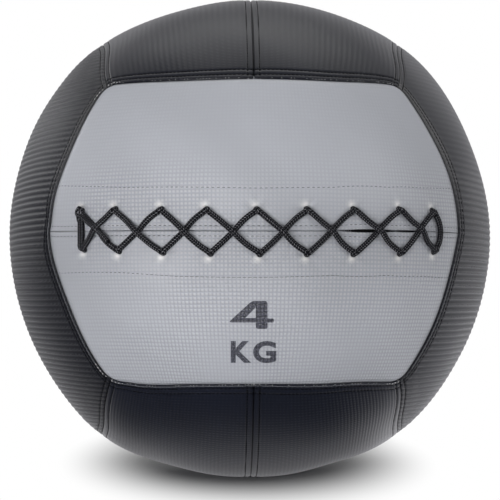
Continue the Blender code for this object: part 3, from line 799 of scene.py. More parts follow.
def buildWeaveGroup():
    inputs = {"Map": "Vector", **embossing, "Clearness": 1.0}
    kit, given = newGroup("embossedWeave", "ShaderNodeTree", inputs, {"Height": "Float", "Cloudy": "Float"})
    cloud = kit.noise(given["Map"], weaveShape["cloudScale"], 3.0)
    wander = kit.noise(given["Map"], weaveShape["wanderScale"], 1.0)
    shift = kit.scaled(kit.maths("SUBTRACT", wander, 0.5), given["Wander"])
    x, y = (kit.maths("ADD", part, shift) for part in kit.split(given["Map"])[:2])

    def wave(value, pitch):
        turns = kit.scaled(kit.maths("DIVIDE", value, pitch), 2 * pi)
        return kit.maths("MULTIPLY_ADD", kit.maths("COSINE", turns), 0.5, 0.5)

    def pillow(value):
        turns = kit.scaled(kit.maths("DIVIDE", value, given["Dot Pitch"]), pi)
        return kit.maths("ABSOLUTE", kit.maths("COSINE", turns))

    def fainter(height, middle, clearness):
        return kit.maths("MULTIPLY_ADD", kit.maths("SUBTRACT", height, middle), clearness, middle)

    ribs = wave(y, given["Rib Pitch"])
    crossed = kit.scaled(kit.scaled(wave(x, given["Cross Pitch"]), ribs), given["Cross Share"])
    plain = kit.scaled(ribs, kit.maths("SUBTRACT", 1.0, given["Cross Share"]))
    ribbed = fainter(kit.maths("ADD", plain, crossed), 0.5, given["Clearness"])
    patches = kit.ramp(kit.noise(given["Map"], weaveShape["patchScale"], 1.0), *weaveShape["patches"])
    clearness = kit.scaled(patches, given["Clearness"])
    dotted = fainter(kit.scaled(pillow(x), pillow(y)), weaveShape["dotMiddle"], clearness)
    kit.add("NodeGroupOutput", {"Height": kit.mix(given["Dot Share"], ribbed, dotted), "Cloudy": cloud})
    return kit.tree


weaveGroup = buildWeaveGroup()

# Looks. faint: the height from and to which the weave fades, and what is left of it; faintLeft: what is
# left at the left end; slitShade: painted shade in the slit's valley, how far from the slit's height the cover
# is painted darker, and by how much
sharedLook = {
    "Dot Pitch": 2.6 * mm,
    "bumpStrength": 1.0,
    "leftEnd": (-0.125, -0.098),
    "slitHeight": 0.164,
    "highlightColour": (0.8, 0.785, 0.77),
}
greyLook = {
    **sharedLook,
    "Rib Pitch": 3.3 * mm,
    "Cross Pitch": 1.6 * mm,
    "Cross Share": 0.3,
    "Dot Share": 1.0,
    "Wander": 0.5 * mm,
    "faint": (0.194, 0.228, 0.2),
    "faintLeft": 0.35,
    "slitShade": (0.055, 0.22),
    "dark": (0.304, 0.315, 0.350),
    "light": (0.338, 0.349, 0.385),
    "peak": (0.55, 0.558, 0.596),
    "peakTint": 0.49,
    "highlightTint": 0.75,
    # deep: the colour of the painted shade in the grooves and by the slit
    "deep": (0.12, 0.125, 0.13),
    "grooveShadeTint": 0.35,
    "rough": 0.4,
    "roughSpread": 0.08,
    "peakShine": 0.08,
    "bumpDepth": 0.27 * mm,
    "specular": 0.5,
}
blackLook = {
    **sharedLook,
    "Cross Pitch": 1.5 * mm,
    "Cross Share": 0.5,
    "Dot Share": 0.0,
    "Wander": 0.3 * mm,
    "faint": (0.2, 0.235, 1.0),
    "faintLeft": 1.0,
    "slitShade": (0.055, 0.0),
    "dark": (0.0045, 0.0055, 0.011),
    "light": (0.0065, 0.0075, 0.0135),
    "peak": (0.014, 0.015, 0.022),
    "peakTint": 0.4,
    "highlightTint": 0.0,
    "deep": (0.002, 0.002, 0.0025),
    "grooveShadeTint": 0.55,
    "rough": 0.34,
    "roughSpread": 0.06,
    "peakShine": 0.04,
    "bumpDepth": 0.2 * mm,
    "specular": 0.25,
}
sideLook = {
    "dark": (0.003, 0.0038, 0.0075),
    "peak": (0.03, 0.031, 0.038),
    "peakTint": 0.6,
    "rough": 0.47,
    "peakShine": 0.26,
    "Cross Pitch": 1.7 * mm,
    "Cross Share": 0.72,
    "bumpDepth": 0.25 * mm,
}
# Copies of the black vinyl per panel, toned to how each panel is lit (painted light and shade): lighter weave
# tops on the right side than on the left, a darker base on both sides, a bluer base on the bottom
panelLooks = {
    "left": {**sideLook, "peak": (0.016, 0.017, 0.022), "highlightTint": 0.055},
    "right": {**sideLook, "faint": (0.175, 0.25, 0.15), "highlightTint": 0.09},
    "top": {"peakTint": 0.2, "bumpDepth": 0.1 * mm},
    "bottom": {
        "Dot Share": 0.45,
        "bumpDepth": 0.15 * mm,
        "dark": (0.004, 0.006, 0.014),
        "light": (0.0055, 0.0075, 0.0165),
    },
}
inkLook = {
    **greyLook,
    "dark": (0.012, 0.013, 0.021),
    "light": (0.02, 0.021, 0.032),
    "peak": (0.11, 0.113, 0.15),
    "peakTint": 0.55,
    "deep": (0.03, 0.03, 0.03),
    "wornShare": 0.5,
    "wornScale": 1300.0,
    "wornFrom": (0.5, 0.72),
}


def vinylMaterial(name, look):
    material, kit, shader = newMaterial(name)
    place = kit.split(kit.place())
    low, high, faintest = look["faint"]
    clearness = kit.ramp(place[2], low, high, 1.0, faintest)
    clearness = kit.scaled(clearness, kit.ramp(place[0], *look["leftEnd"], look["faintLeft"], 1.0))
    inputs = {"Map": kit.weaveMap(), "Clearness": clearness, **{key: look[key] for key in embossing}}
    height, cloudy = kit.add("ShaderNodeGroup", inputs, node_tree=weaveGroup).outputs
    base = kit.mixColour(cloudy, look["dark"], look["light"])
    # Weave tops painted lighter: a painted highlight for the light the raised weave catches, on top of its
    # bump
    base = kit.mixColour(kit.scaled(height, look["peakTint"]), base, look["peak"])
    # Painted shade: the cover is painted darker near the slit's height, where its valley lies in shade
    fromSlit = kit.maths("ABSOLUTE", kit.maths("SUBTRACT", place[2], look["slitHeight"]))
    reach, shade = look["slitShade"]
    base = kit.mixColour(kit.ramp(fromSlit, 0.0, reach, shade, 0.0), base, look["deep"])
    # Painted highlights beside the lace holes, and painted sheen along the side seams
    base = kit.mixColour(kit.scaled(kit.attribute("paintedHighlight"), look["highlightTint"]), base, look["highlightColour"])
    # Painted shade in the seams' grooves
    base = kit.mixColour(kit.scaled(kit.attribute("grooveShade"), look["grooveShadeTint"]), base, look["deep"])
    if "wornShare" in look:  # specks where ink lies thin
        grain = kit.noise(kit.weaveMap(), look["wornScale"], 2.0)
        worn = kit.ramp(grain, *look["wornFrom"], 0.0, look["wornShare"])
        base = kit.mixColour(worn, base, greyLook["light"])
    rough = kit.maths("MULTIPLY_ADD", cloudy, look["roughSpread"], look["rough"])
    rough = kit.maths("MULTIPLY_ADD", height, -look["peakShine"], rough)
    normal = kit.bump(height, look["bumpStrength"], look["bumpDepth"])
    inputs = {"Base Color": base, "Roughness": rough, "Normal": normal}
    kit.feed(shader, {**inputs, "Specular IOR Level": look["specular"]})
    return material


greyVinyl = vinylMaterial("grey embossed vinyl", greyLook)
blackVinyls = {}
for group, look in panelLooks.items():
    fullLook = {**blackLook, "Rib Pitch": rib["pitch"][group], **look}
    blackVinyls[group] = vinylMaterial(f"black embossed vinyl {group}", fullLook)
covers = [makeCover(panel, blackVinyls.get(panel.group, greyVinyl)) for panel in panels.values()]
print("covers sewn:", len(covers), "pieces,", sum(len(o.data.polygons) for o in covers), "faces")

# The lace: one braided cord along its whole route, in and out of the holes.
# through: steps into a hole, as shares of mm along the strand across and up the front, and height in mm
lace = {
    "radius": 1.85 * mm,
    "ringStep": 0.36 * mm,
    "hiddenStep": 2.4 * mm,
    "hiddenBelow": 2.6 * mm,
    "sides": 32,
    "columns": 8,
    "pickLength": 1.7 * mm,
    "pickDepth": 0.34 * mm,
    "pickLean": 0.9,
    "pickMiddle": 0.6,
    "through": ((-0.2, -0.5, -3.4), (-0.1, -0.3, -1.2), (0.2, 1.3, 1.0), (1.6, 3.0, 1.7)),
    "rest": 1.7 * mm,
    "dip": 0.7 * mm,
    "lift": 3.0 * mm,
    "crossingSpread": 6.0 * mm,
    "bow": 1.1 * mm,
    "holeShift": 0.7 * mm,
    "forwardDepth": 6.5 * mm,
    "returnDepth": 11 * mm,
    "endBow": 3.7 * mm,
    "pinch": 0.78,
    "pinchBelow": 0.3 * mm,
    "plump": 1.22,
    "plumpRun": 27 * mm,
    "endTurns": (0.5, 0.95, 1.3),
    "endLength": 0.9,
    "dark": (0.001, 0.0011, 0.0025),
    "light": (0.34, 0.34, 0.37),
}


def throughHole(place, side, towards):
    x = place[0] + side * lace["holeShift"]
    step = unit(np.array([towards[0] - x, towards[1] - place[1]]))
    return [(x + step[0] * a * mm, place[1] + step[1] * b * mm, c * mm) for a, b, c in lace["through"]]


def betweenHoles(top, topSide, bottom, bottomSide, count, bend):
    first, last = throughHole(top, topSide, bottom), throughHole(bottom, bottomSide, top)
    start, end = np.array(first[-1]), np.array(last[-1])
    length = np.linalg.norm(end - start)
    shares = np.linspace(0, 1, count)[1:-1]
    return first + [bend(share, length, *(start + (end - start) * share)) for share in shares] + last[::-1]


# A strand over the slit from a top hole to a bottom one; where two cross, one rides over the other
def strandKeys(top, topSide, bottom, bottomSide, over, bows):
    def bend(share, length, x, y, _):
        bow = bows[int(share > 0.5)] * lace["bow"] * math.sin(2 * pi * share)
        near = hump((share - 0.5) * length, lace["crossingSpread"])
        return x, y + bow, lace["rest"] + (lace["lift"] if over else -lace["dip"]) * near

    return betweenHoles(top, topSide, bottom, bottomSide, 13, bend)


# The standing run at the right end
def sideRun(top, bottom, side, bow):
    def bend(share, _, x, y, z):
        return x + bow * math.sin(pi * share) ** 0.8, y, z

    return betweenHoles(top, side, bottom, side, 9, bend)


def hiddenKeys(bottom, bottomSide, top, topSide, depth):
    x0, x1 = bottom[0] + bottomSide * lace["holeShift"], top[0] + topSide * lace["holeShift"]
    gap = (top[1] - bottom[1]) / 5
    return [
        (x0, bottom[1] + gap * 0.25, -depth * 0.8),
        (x0, bottom[1] + gap, -depth),
        ((x0 + x1) / 2, (bottom[1] + top[1]) / 2, -depth),
        (x1, top[1] - gap, -depth),
        (x1, top[1] - gap * 0.25, -depth * 0.8),
    ]


def smoothPath(keys, visibleStep, hiddenStep):
    keys = np.asarray(keys, float)
    padded = np.concatenate([keys[:1] * 2 - keys[1:2], keys, keys[-1:] * 2 - keys[-2:-1]])
    t = np.linspace(0, 1, 12, endpoint=False)[:, None]
    pieces = [
        0.5 * (2 * b + (c - a) * t + (2 * a - 5 * b + 4 * c - d) * t**2 + (3 * b - a - 3 * c + d) * t**3)
        for a, b, c, d in zip(padded, padded[1:], padded[2:], padded[3:])
    ]
    fine = np.concatenate(pieces + [keys[-1:]])
    d = frontDirection(fine[:, 0], fine[:, 1])
    points = ballMiddle + d * (surfaceRadius(d) + swells(d) + fine[:, 2])[:, None]
    reach = np.concatenate([[0], np.cumsum(np.linalg.norm(np.diff(points, axis=0), axis=1))])
    spots, s = [], 0.0
    while s < reach[-1]:
        spots.append(s)
        s += hiddenStep if np.interp(s, reach, fine[:, 2]) < -lace["hiddenBelow"] else visibleStep
    spots = np.array(spots + [reach[-1]])
    path = np.stack([np.interp(spots, reach, points[:, k]) for k in range(3)], -1)
    return path, spots, np.interp(spots, reach, fine[:, 2])


def ringFrames(path):
    tangent = unit(np.gradient(path, axis=0))
    normal = unit(np.cross(tangent[0], right + 0.01 * up))
    normals = []
    for t in tangent:
        normal = unit(normal - t * (normal @ t))
        normals.append(normal)
    return tangent, np.array(normals), np.cross(tangent, normals)


def capFaces(ring):
    near, far = np.split(ring, 2)
    far = far[::-1]
    return np.stack([near[:-1], near[1:], far[1:], far[:-1]], -1)


# A round braid: columns of slanted picks, leaning left and right by turns
def braidHeight(angle, along):
    column = angle / (2 * pi) * lace["columns"]
    index = np.floor(column)
    across = column - index - 0.5
    lean = np.where(index % 2 < 0.5, 1.0, -1.0)
    phase = along / lace["pickLength"] + across * lean * lace["pickLean"]
    return np.sqrt(np.clip(np.cos(across * pi), 0, 1)) * np.abs(np.cos(phase * pi))


def cordPiece(name, path, along, radius, material, node):
    sides = lace["sides"]
    angle = np.arange(sides) * 2 * pi / sides + 0.05
    tangent, normal, binormal = ringFrames(path)
    pick = braidHeight(angle[None], along[:, None])
    reach = (radius[:, None] + (pick - lace["pickMiddle"]) * lace["pickDepth"])[..., None]
    cosines, sines = np.cos(angle)[None, :, None], np.sin(angle)[None, :, None]
    rings = path[:, None] + reach * (normal[:, None] * cosines + binormal[:, None] * sines)
    ends = []
    for index, sign in ((0, -1), (-1, 1)):
        group = []
        for turned in lace["endTurns"]:
            shrunk = path[index] + (rings[index] - path[index]) * math.cos(turned)
            group.append(shrunk + tangent[index] * sign * radius[index] * math.sin(turned) * lace["endLength"])
        ends.append(group)
    rings = np.concatenate([np.array(ends[0][::-1]), rings, np.array(ends[1])])
    pick = np.concatenate([pick[:1]] * 3 + [pick] + [pick[-1:]] * 3)
    count = len(rings)
    index = np.arange(count * sides).reshape(count, sides)
    turned = np.roll(index, -1, 1)
    faces = [np.stack([index[:-1], turned[:-1], turned[1:], index[1:]], -1).reshape(-1, 4)]
    faces += [capFaces(index[0])[:, ::-1], capFaces(index[-1])]
    made, used = makeMesh(name, rings.reshape(-1, 3), np.concatenate(faces), material)
    setFloats(made.data, "pick", pick.reshape(-1)[used])
    flat = np.broadcast_arrays(angle[None] * lace["radius"], np.linspace(0, 1, count)[:, None])
    setWeaveMap(made.data, np.stack(flat, -1).reshape(-1, 2)[used])
    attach(made, "root")
    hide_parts(node)
    return made


def laceMaterial(name):
    material, kit, shader = newMaterial(name)
    fibre = kit.noise(kit.place(), 900.0, 2.0)
    # The picks' raised tops painted pale: a painted highlight on the black braid
    raised = kit.scaled(kit.maths("POWER", kit.attribute("pick"), 6.0), kit.scaled(fibre, 2.0))
    inputs = {"Base Color": kit.mixColour(raised, lace["dark"], lace["light"])}
    inputs.update({"Roughness": kit.maths("MULTIPLY_ADD", fibre, 0.2, 0.5), "Specular IOR Level": 0.05})
    kit.feed(shader, {**inputs, "Normal": kit.bump(fibre, 0.5, 0.1 * mm)})
    return material


blackLace = laceMaterial("black braided lace")

# The knotted end: its places in millimetres across and up from a point of the front, and above it
knot = {
    "pixel": (82.6, 213.8),
    "lift": 2.7,
    "across": 0.75,
    "tall": 3.1,
    "deep": 1.0,
    "cord": 1.4 * mm,
    "tailCord": 1.55 * mm,
    "tailFrom": (35 * mm, 25 * mm),
    "tailX": (86.5, 91.8, 96.4, 100.6, 105.9, 109.9),
    "tailY": (218, 223, 227, 230.9, 236.3, 241.3),
    "tailLift": (3.8, 4.0, 4.0, 4.0, 3.6, 3.2),
    "downX": 83.1,
    "downY": (222, 229, 236, 243),
    "downLift": 1.8,
    "start": ((0.2, 0, 2.6), (0.1, -3, 2.3)),
    "inside": ((-1.2, 0, -3.4), (-1.2, 0, -0.5)),
    "finish": ((-0.6, 0.6, 2.0),),
}


def keysFrom(place, offsets):
    return [(float(place[0]) + x * mm, float(place[1]) + y * mm, z * mm) for x, y, z in offsets]


# Knotted end at the first hole, down the left, forward to the right end, round it and back
knotPlace = pixelToFront(*knot["pixel"])
tops, bottoms, last = topHoles, bottomHoles, len(topHoles) - 1
route = keysFrom(knotPlace, knot["start"])
for y in knot["downY"]:
    route += keysFrom(pixelToFront(knot["downX"], y), ((0, 0, knot["downLift"]),))
route += throughHole(bottoms[0], -1, tops[0])[::-1]
route += hiddenKeys(bottoms[0], -1, tops[0], 1, lace["forwardDepth"])
for i in range(last):
    route += strandKeys(tops[i], 1, bottoms[i + 1], -1, i > 0, (0.2, 1))
    route += hiddenKeys(bottoms[i + 1], -1, tops[i + 1], 1, lace["forwardDepth"])
route += sideRun(tops[last], bottoms[last], 1, lace["endBow"])
route += hiddenKeys(bottoms[last], 1, tops[last], -1, lace["returnDepth"])
for i in reversed(range(last)):
    route += strandKeys(tops[i + 1], -1, bottoms[i], 1, i == 0, (1, 0.2) if i else (0.5, -0.1))
    route += hiddenKeys(bottoms[i], 1, tops[i], -1, lace["returnDepth"])
route += keysFrom(tops[0], knot["inside"]) + keysFrom(knotPlace, knot["finish"])
lacePath, laceAlong, laceLift = smoothPath(route, lace["ringStep"], lace["hiddenStep"])
pinched = np.where(laceAlong < lace["plumpRun"], lace["plump"], 1.0)
pinched = np.where(laceLift < lace["pinchBelow"], lace["pinch"], pinched)
pinched = np.convolve(np.pad(pinched, 3, mode="edge"), np.ones(7) / 7, "valid")
cordPiece("braided_lace", lacePath, laceAlong, lace["radius"] * pinched, blackLace, "lace")
print("lace drawn through:", round(float(laceAlong[-1]), 2), "m")

# The knot: a small pulled-tight overhand knot, with its end lying along the first strand
turns = np.linspace(0, 2 * pi, 90)
loops = (
    (np.sin(turns) + 2 * np.sin(2 * turns)) * knot["across"] / 2,
    (np.cos(turns) - 2 * np.cos(2 * turns)) * knot["tall"] / 2,
    knot["lift"] - np.sin(3 * turns) * knot["deep"],
)
knotKeys = keysFrom(knotPlace, zip(*loops))[:-4]
for x, y, lift in zip(knot["tailX"], knot["tailY"], knot["tailLift"]):
    knotKeys += keysFrom(pixelToFront(x, y), ((0, 0, lift),))
knotPath, knotAlong, _ = smoothPath(knotKeys, lace["ringStep"], lace["ringStep"])
tailRuns = [knotAlong[-1] - run for run in knot["tailFrom"]]
knotCord = np.interp(knotAlong, tailRuns, [knot["cord"], knot["tailCord"]])
cordPiece("lace_knot_and_end", knotPath, knotAlong, knotCord, blackLace, "lace_knot")


# Stitches: one tree lays thread along every row
def buildStitchTree():
    inputs = {"Geometry": "Geometry", "Pitch": 3 * mm, "Stitch Length": 2.4 * mm, "Thread Thickness": 0.5 * mm}
    inputs.update({"Wander": 0.06, "Shown Share": 1.0, "Seed": 4, "Thread": "Material"})
    kit, given = newGroup("threadRow", "GeometryNodeTree", inputs, {"Geometry": "Geometry"})
    add, seed, thickness = kit.add, given["Seed"], given["Thread Thickness"]
    curve = add("GeometryNodeMeshToCurve", {"Mesh": given["Geometry"]}).outputs["Curve"]
    spacing = {"Curve": curve, "Length": given["Pitch"]}
    spots = add("GeometryNodeResampleCurve", spacing, mode="LENGTH").outputs[0]
    out = add("GeometryNodeInputNamedAttribute", {"Name": "out"}, data_type="FLOAT_VECTOR")
    tangent = add("GeometryNodeInputTangent").outputs[0]
    turned = add("FunctionNodeAlignRotationToVector", {"Vector": tangent}, axis="X").outputs[0]
    facing = {"Rotation": turned, "Vector": out.outputs["Attribute"]}
    turned = add("FunctionNodeAlignRotationToVector", facing, axis="Z", pivot_axis="X").outputs[0]
    spread = add("ShaderNodeCombineXYZ", {"Z": given["Wander"]}).outputs[0]
    low = kit.vectorMaths("MULTIPLY", spread, (-1.0, -1.0, -1.0))
    random = add("FunctionNodeRandomValue", {0: low, 1: spread, "Seed": seed}, data_type="FLOAT_VECTOR")
    jitter = add("FunctionNodeEulerToRotation", {"Euler": random.outputs["Value"]}).outputs[0]
    jittered = {"Rotation": turned, "Rotate By": jitter}
    turned = add("FunctionNodeRotateRotation", jittered, rotation_space="LOCAL").outputs[0]
    ball = add("GeometryNodeMeshUVSphere", {"Segments": 6, "Rings": 4, "Radius": 0.5}).outputs["Mesh"]
    measures = {"X": given["Stitch Length"], "Y": thickness, "Z": thickness}
    size = add("ShaderNodeCombineXYZ", measures).outputs[0]
    shown = {"Probability": given["Shown Share"], "Seed": seed}
    chosen = add("FunctionNodeRandomValue", shown, data_type="BOOLEAN")
    placing = {"Points": spots, "Instance": ball, "Rotation": turned, "Scale": size}
    placing["Selection"] = chosen.outputs["Value"]
    placed = add("GeometryNodeInstanceOnPoints", placing).outputs[0]
    threads = add("GeometryNodeRealizeInstances", {0: placed}).outputs[0]
    threads = add("GeometryNodeSetShadeSmooth", {"Geometry": threads}).outputs[0]
    threads = add("GeometryNodeSetMaterial", {"Geometry": threads, "Material": given["Thread"]}).outputs[0]
    add("NodeGroupOutput", {"Geometry": threads})
    return kit.tree


stitchTree = buildStitchTree()


def evaluated(piece):
    bpy.context.view_layer.update()
    return bpy.data.meshes.new_from_object(piece.evaluated_get(bpy.context.evaluated_depsgraph_get()))


def threadRows(name, rows, settings, material, slot):
    points, outs, edges = [], [], []
    for row, out in rows:
        edges += [(len(points) + k, len(points) + k + 1) for k in range(len(row) - 1)]
        points += row.tolist()
        outs += out.tolist()
    guide = bpy.data.meshes.new(name)
    guide.from_pydata(points, edges, [])
    attribute = guide.attributes.new("out", "FLOAT_VECTOR", "POINT")
    attribute.data.foreach_set("vector", np.asarray(outs, np.float32).ravel())
    made = linked(name, guide)
    modifier = made.modifiers.new("threads", "NODES")
    modifier.node_group = stitchTree
    values = {**settings, "Thread": material}
    for item in stitchTree.interface.items_tree:
        if item.item_type == "SOCKET" and item.in_out == "INPUT" and item.name in values:
            modifier[item.identifier] = values[item.name]
    mesh = evaluated(made)
    made.modifiers.remove(modifier)
    made.data = mesh
    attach(made, "root")
    print(name, "laid:", len(mesh.polygons), "faces")


# A row along one edge of a panel, at a distance from its seam
def rowAlong(panel, edge, distance, lift, first=0.0, final=1.0):
    steps = np.linspace(first, final, samples["row"])
    if edge == "far":
        u, v = steps, 1 - distance / panel.height(steps)
    elif edge == "split":
        u, v = steps, (distance + (panel.halfGap(steps) if panel.laced else 0)) / panel.height(steps)
    else:
        u, v = distance / panel.width(steps), steps
        u = u if edge == "first" else 1 - u
    d = panel.direction(u, v)
    rise, _ = panelHeight(panel, d, u, v, panel.halfGap(u))
    return toWorld(d, surfaceRadius(d) + rise + lift, stitching["aboveFloor"]), d


def threadMaterial(name, shade, specular=0.4):
    material, kit, shader = newMaterial(name)
    fibre = kit.noise(kit.place(), 1500.0, 2.0)
    darker = tuple(value * 0.6 for value in shade)
    inputs = {"Base Color": kit.mixColour(fibre, darker, shade), "Roughness": 0.5}
    kit.feed(shader, {**inputs, "Normal": kit.bump(fibre, 0.6, 0.05 * mm), "Specular IOR Level": specular})
    return material


def thread(pitch, length, thickness, wander=0.06, shown=1.0):
    sizes = {"Pitch": pitch * mm, "Stitch Length": length * mm, "Thread Thickness": thickness * mm}
    return {**sizes, "Wander": wander, "Shown Share": shown}


# Threads in millimetres: pitch, length, thickness. Facing rows: shares along the slit, and distances from it
stitching = {
    "aboveFloor": 0.34 * mm,
    "black": thread(2.7, 2.5, 0.62),
    "grey": thread(3.3, 2.2, 0.42),
    "tight": thread(3.3, 3.3, 0.34),
    "specks": thread(2.1, 0.8, 0.38, 0.3, 0.5),
    "beads": thread(2.4, 1.3, 0.6, 0.3),
    "binding": thread(1.6, 2.2, 0.55, 0.02),
    "seamLift": 0.05 * mm,
    "seamRun": (0.015, 0.985),
    "hemLift": 0.02 * mm,
    "hemRun": (0.01, 0.99),
    "speckOffset": 0.35 * mm,
    "speckLift": -0.1 * mm,
    "facingLift": 0.03 * mm,
    "facing": {
        "front_upper": ((0, 0.2, 0.5, 0.8, 1), (30.5, 27.5, 26.4, 27.5, 30)),
        "front_lower": ((0, 0.1, 0.2, 0.32, 0.5, 0.8, 1), (27.4, 26.8, 27, 28.2, 28.2, 28, 30)),
    },
    "facingRuns": {"front_upper": (0.01, 0.99), "front_lower": (0.01, 0.27, 0.8, 0.99)},
    "beadOffset": 1.0 * mm,
    "beadLift": 0.15 * mm,
    "beadRuns": (
        ("top_left", "first", 0.9, 0.985),
        ("bottom_left", "first", 0.9, 0.985),
        ("bottom_right", "first", 0.9, 0.985),
        ("left_front", "far", 0.02, 0.07),
        ("left_front", "far", 0.94, 0.98),
    ),
    # A thin grey line on the black folds beside the grey edges: a painted highlight along the fold's rim
    "bindingOffset": 1.05 * mm,
    "bindingLift": 0.12 * mm,
    "bindingRuns": (
        ("left_front", "far", 0.04, 0.62),
        ("right_front", "far", 0.06, 0.4),
        ("bottom_left", "first", 0, 1),
        ("bottom_right", "first", 0, 1),
    ),
}
blackThread = threadMaterial("black thread", (0.003, 0.003, 0.004), 0.05)
greyThread = threadMaterial("dark grey thread", (0.075, 0.078, 0.085), 0.2)
# Pale thread for the specks on the folded edges and the corner beads, painted paler than the stitching so it
# also stands for the fold's glints: a painted highlight
paleGlintThread = threadMaterial("pale thread glints", (0.62, 0.62, 0.62))
# Grey for the painted highlight along the folds
gleamThread = threadMaterial("grey binding", (0.13, 0.134, 0.15))


# Short rows of their own: a panel, one of its edges, and where the row starts and ends
def listedRows(kind):
    offset, lift = stitching[f"{kind}Offset"], stitching[f"{kind}Lift"]
    return [rowAlong(panels[name], edge, offset, lift, *run) for name, edge, *run in stitching[f"{kind}Runs"]]


blackRows, greyRows, speckRows, facingRows = [], [], [], {"tight": []}
for panel in panels.values():
    if panel.farKind != "under":
        kinds = (panel.splitKind, panel.sideKind, panel.sideKind, panel.farKind)
        for edge, kind in zip(("split", "first", "second", "far"), kinds):
            for offset in seamShape["stitchRows"][kind]:
                blackRows.append(rowAlong(panel, edge, offset, stitching["seamLift"], *stitching["seamRun"]))
            if kind == "over":
                speckRows.append(rowAlong(panel, edge, stitching["speckOffset"], stitching["speckLift"]))
    elif panel.laced:
        hem = rowAlong(panel, "split", seamShape["hemStitch"], stitching["hemLift"], *stitching["hemRun"])
        greyRows.append(hem)
        facingRows[panel.name] = []
        shares, offsets = stitching["facing"][panel.name]
        ends = stitching["facingRuns"][panel.name]
        for part, (first, final) in enumerate(zip(ends, ends[1:])):
            offset = np.interp(np.linspace(first, final, samples["row"]), shares, np.array(offsets) * mm)
            row = rowAlong(panel, "split", offset, stitching["facingLift"], first, final)
            facingRows["tight" if part == 1 else panel.name].append(row)
for name, rows, kind, material, slot in (
    ("stitching_black", blackRows, "black", blackThread, "black_vinyl"),
    ("stitching_grey", greyRows, "grey", greyThread, "grey_vinyl"),
    ("stitching_edge_glints", speckRows, "specks", paleGlintThread, "grey_vinyl"),
    ("stitching_corner_glints", listedRows("bead"), "beads", paleGlintThread, "grey_vinyl"),
    ("seam_gleam", listedRows("binding"), "binding", gleamThread, "black_vinyl"),
    ("stitching_facing_upper", facingRows["front_upper"], "grey", greyThread, "grey_vinyl"),
    ("stitching_facing_lower", facingRows["front_lower"], "grey", greyThread, "grey_vinyl"),
    ("stitching_facing_tight", facingRows["tight"], "tight", greyThread, "grey_vinyl"),
):
    threadRows(name, rows, stitching[kind], material, slot)

# The weight, printed on the lower front panel: a wide figure with rounded ends, and plain letters.
# A corner is x, y and rounding; pixels are left, right, top and bottom in the photograph
marking = {
    "figureEdge": (
        (-3, 6.3, 3.6), (21.5, 27.8, 3), (37.3, 27.8, 3), (37.3, 10.3, 0.3), (43.8, 10.3, 1.6),
        (43.8, 6.3, 1.6), (37.3, 6.3, 0.3), (37.3, 0, 2.2), (25.4, 0, 2.2), (25.4, 6.3, 0.3),
    ),
    "figureHole": ((14.6, 10.8, 0.3), (25.3, 10.8, 0.3), (25.3, 21.5, 0.3)),
    "figurePixels": (229.9, 273.7, 300.7, 328.4),
    "letterPixels": {"k": (231.0, 251.0, 340.3, 361.3), "g": (253.0, 276.0, 340.3, 361.6)},
    "proud": 0.12 * mm,
    "facet": 1.6 * mm,
    "joined": 0.02 * mm,
    "bold": 0.038,
    "curveSteps": 6,
}


def roundedOutline(outline):
    points = []
    for index, (x, y, radius) in enumerate(outline):
        here = np.array([x, y])
        before, after = (np.array(outline[k % len(outline)][:2]) for k in (index - 1, index + 1))
        first, last = here + unit(before - here) * radius, here + unit(after - here) * radius
        for t in np.linspace(0, 1, marking["curveSteps"]):
            points.append(first * (1 - t) ** 2 + here * 2 * t * (1 - t) + last * t**2)
    return points


def figureCurve(name):
    data = bpy.data.curves.new(name, "CURVE")
    data.dimensions = "2D"
    for outline in (marking["figureEdge"], marking["figureHole"]):
        points = roundedOutline(outline)
        spline = data.splines.new("POLY")
        spline.points.add(len(points) - 1)
        for spot, (x, y) in zip(spline.points, points):
            spot.co = (x, y, 0, 1)
        spline.use_cyclic_u = True
    return data


def lettersCurve(name, word):
    data = bpy.data.curves.new(name, "FONT")
    data.body, data.offset, data.resolution_u = word, marking["bold"], marking["curveSteps"]
    return data


def printed(name, data, leftEdge, rightEdge, top, bottom):
    data.fill_mode = "BOTH"
    drawn = linked(name, data)
    mesh = evaluated(drawn)
    bpy.data.objects.remove(drawn)
    shape = bmesh.new()
    shape.from_mesh(mesh)
    low, high = ([limit(v.co[k] for v in shape.verts) for k in (0, 1)] for limit in (min, max))
    for v in shape.verts:
        across, upwards = ((v.co[k] - low[k]) / (high[k] - low[k]) for k in (0, 1))
        x, y = pixelToFront(leftEdge + (rightEdge - leftEdge) * across, bottom + (top - bottom) * upwards)
        v.co = (float(x), float(y), 0)
    bmesh.ops.remove_doubles(shape, verts=shape.verts, dist=marking["joined"])
    bmesh.ops.triangulate(shape, faces=shape.faces)
    for _ in range(6):
        long = [e for e in shape.edges if e.calc_length() > marking["facet"]]
        if not long:
            break
        bmesh.ops.subdivide_edges(shape, edges=long, cuts=1)
        bmesh.ops.triangulate(shape, faces=shape.faces)
    flat = np.array([(v.co.x, v.co.y) for v in shape.verts])
    d = frontDirection(flat[:, 0], flat[:, 1])
    for v, place in zip(shape.verts, toWorld(d, surfaceRadius(d) + swells(d) + marking["proud"])):
        v.co = place
    shape.normal_update()
    if sum(f.normal.y for f in shape.faces) > 0:
        bmesh.ops.reverse_faces(shape, faces=shape.faces)
    shape.to_mesh(mesh)
    shape.free()
    mesh.polygons.foreach_set("use_smooth", np.full(len(mesh.polygons), True))
    setWeaveMap(mesh, flat)
    mesh.materials.clear()
    mesh.materials.append(printInk)
    made = linked(name, mesh)
    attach(made, "root")


printInk = vinylMaterial("dark printing ink on the weave", inkLook)
printed("weight_marking_figure", figureCurve("weight_marking_figure"), *marking["figurePixels"])
for letter, pixels in marking["letterPixels"].items():
    name = f"weight_marking_letter_{letter}"
    printed(name, lettersCurve(name, letter.upper()), *pixels)
print("marking printed")

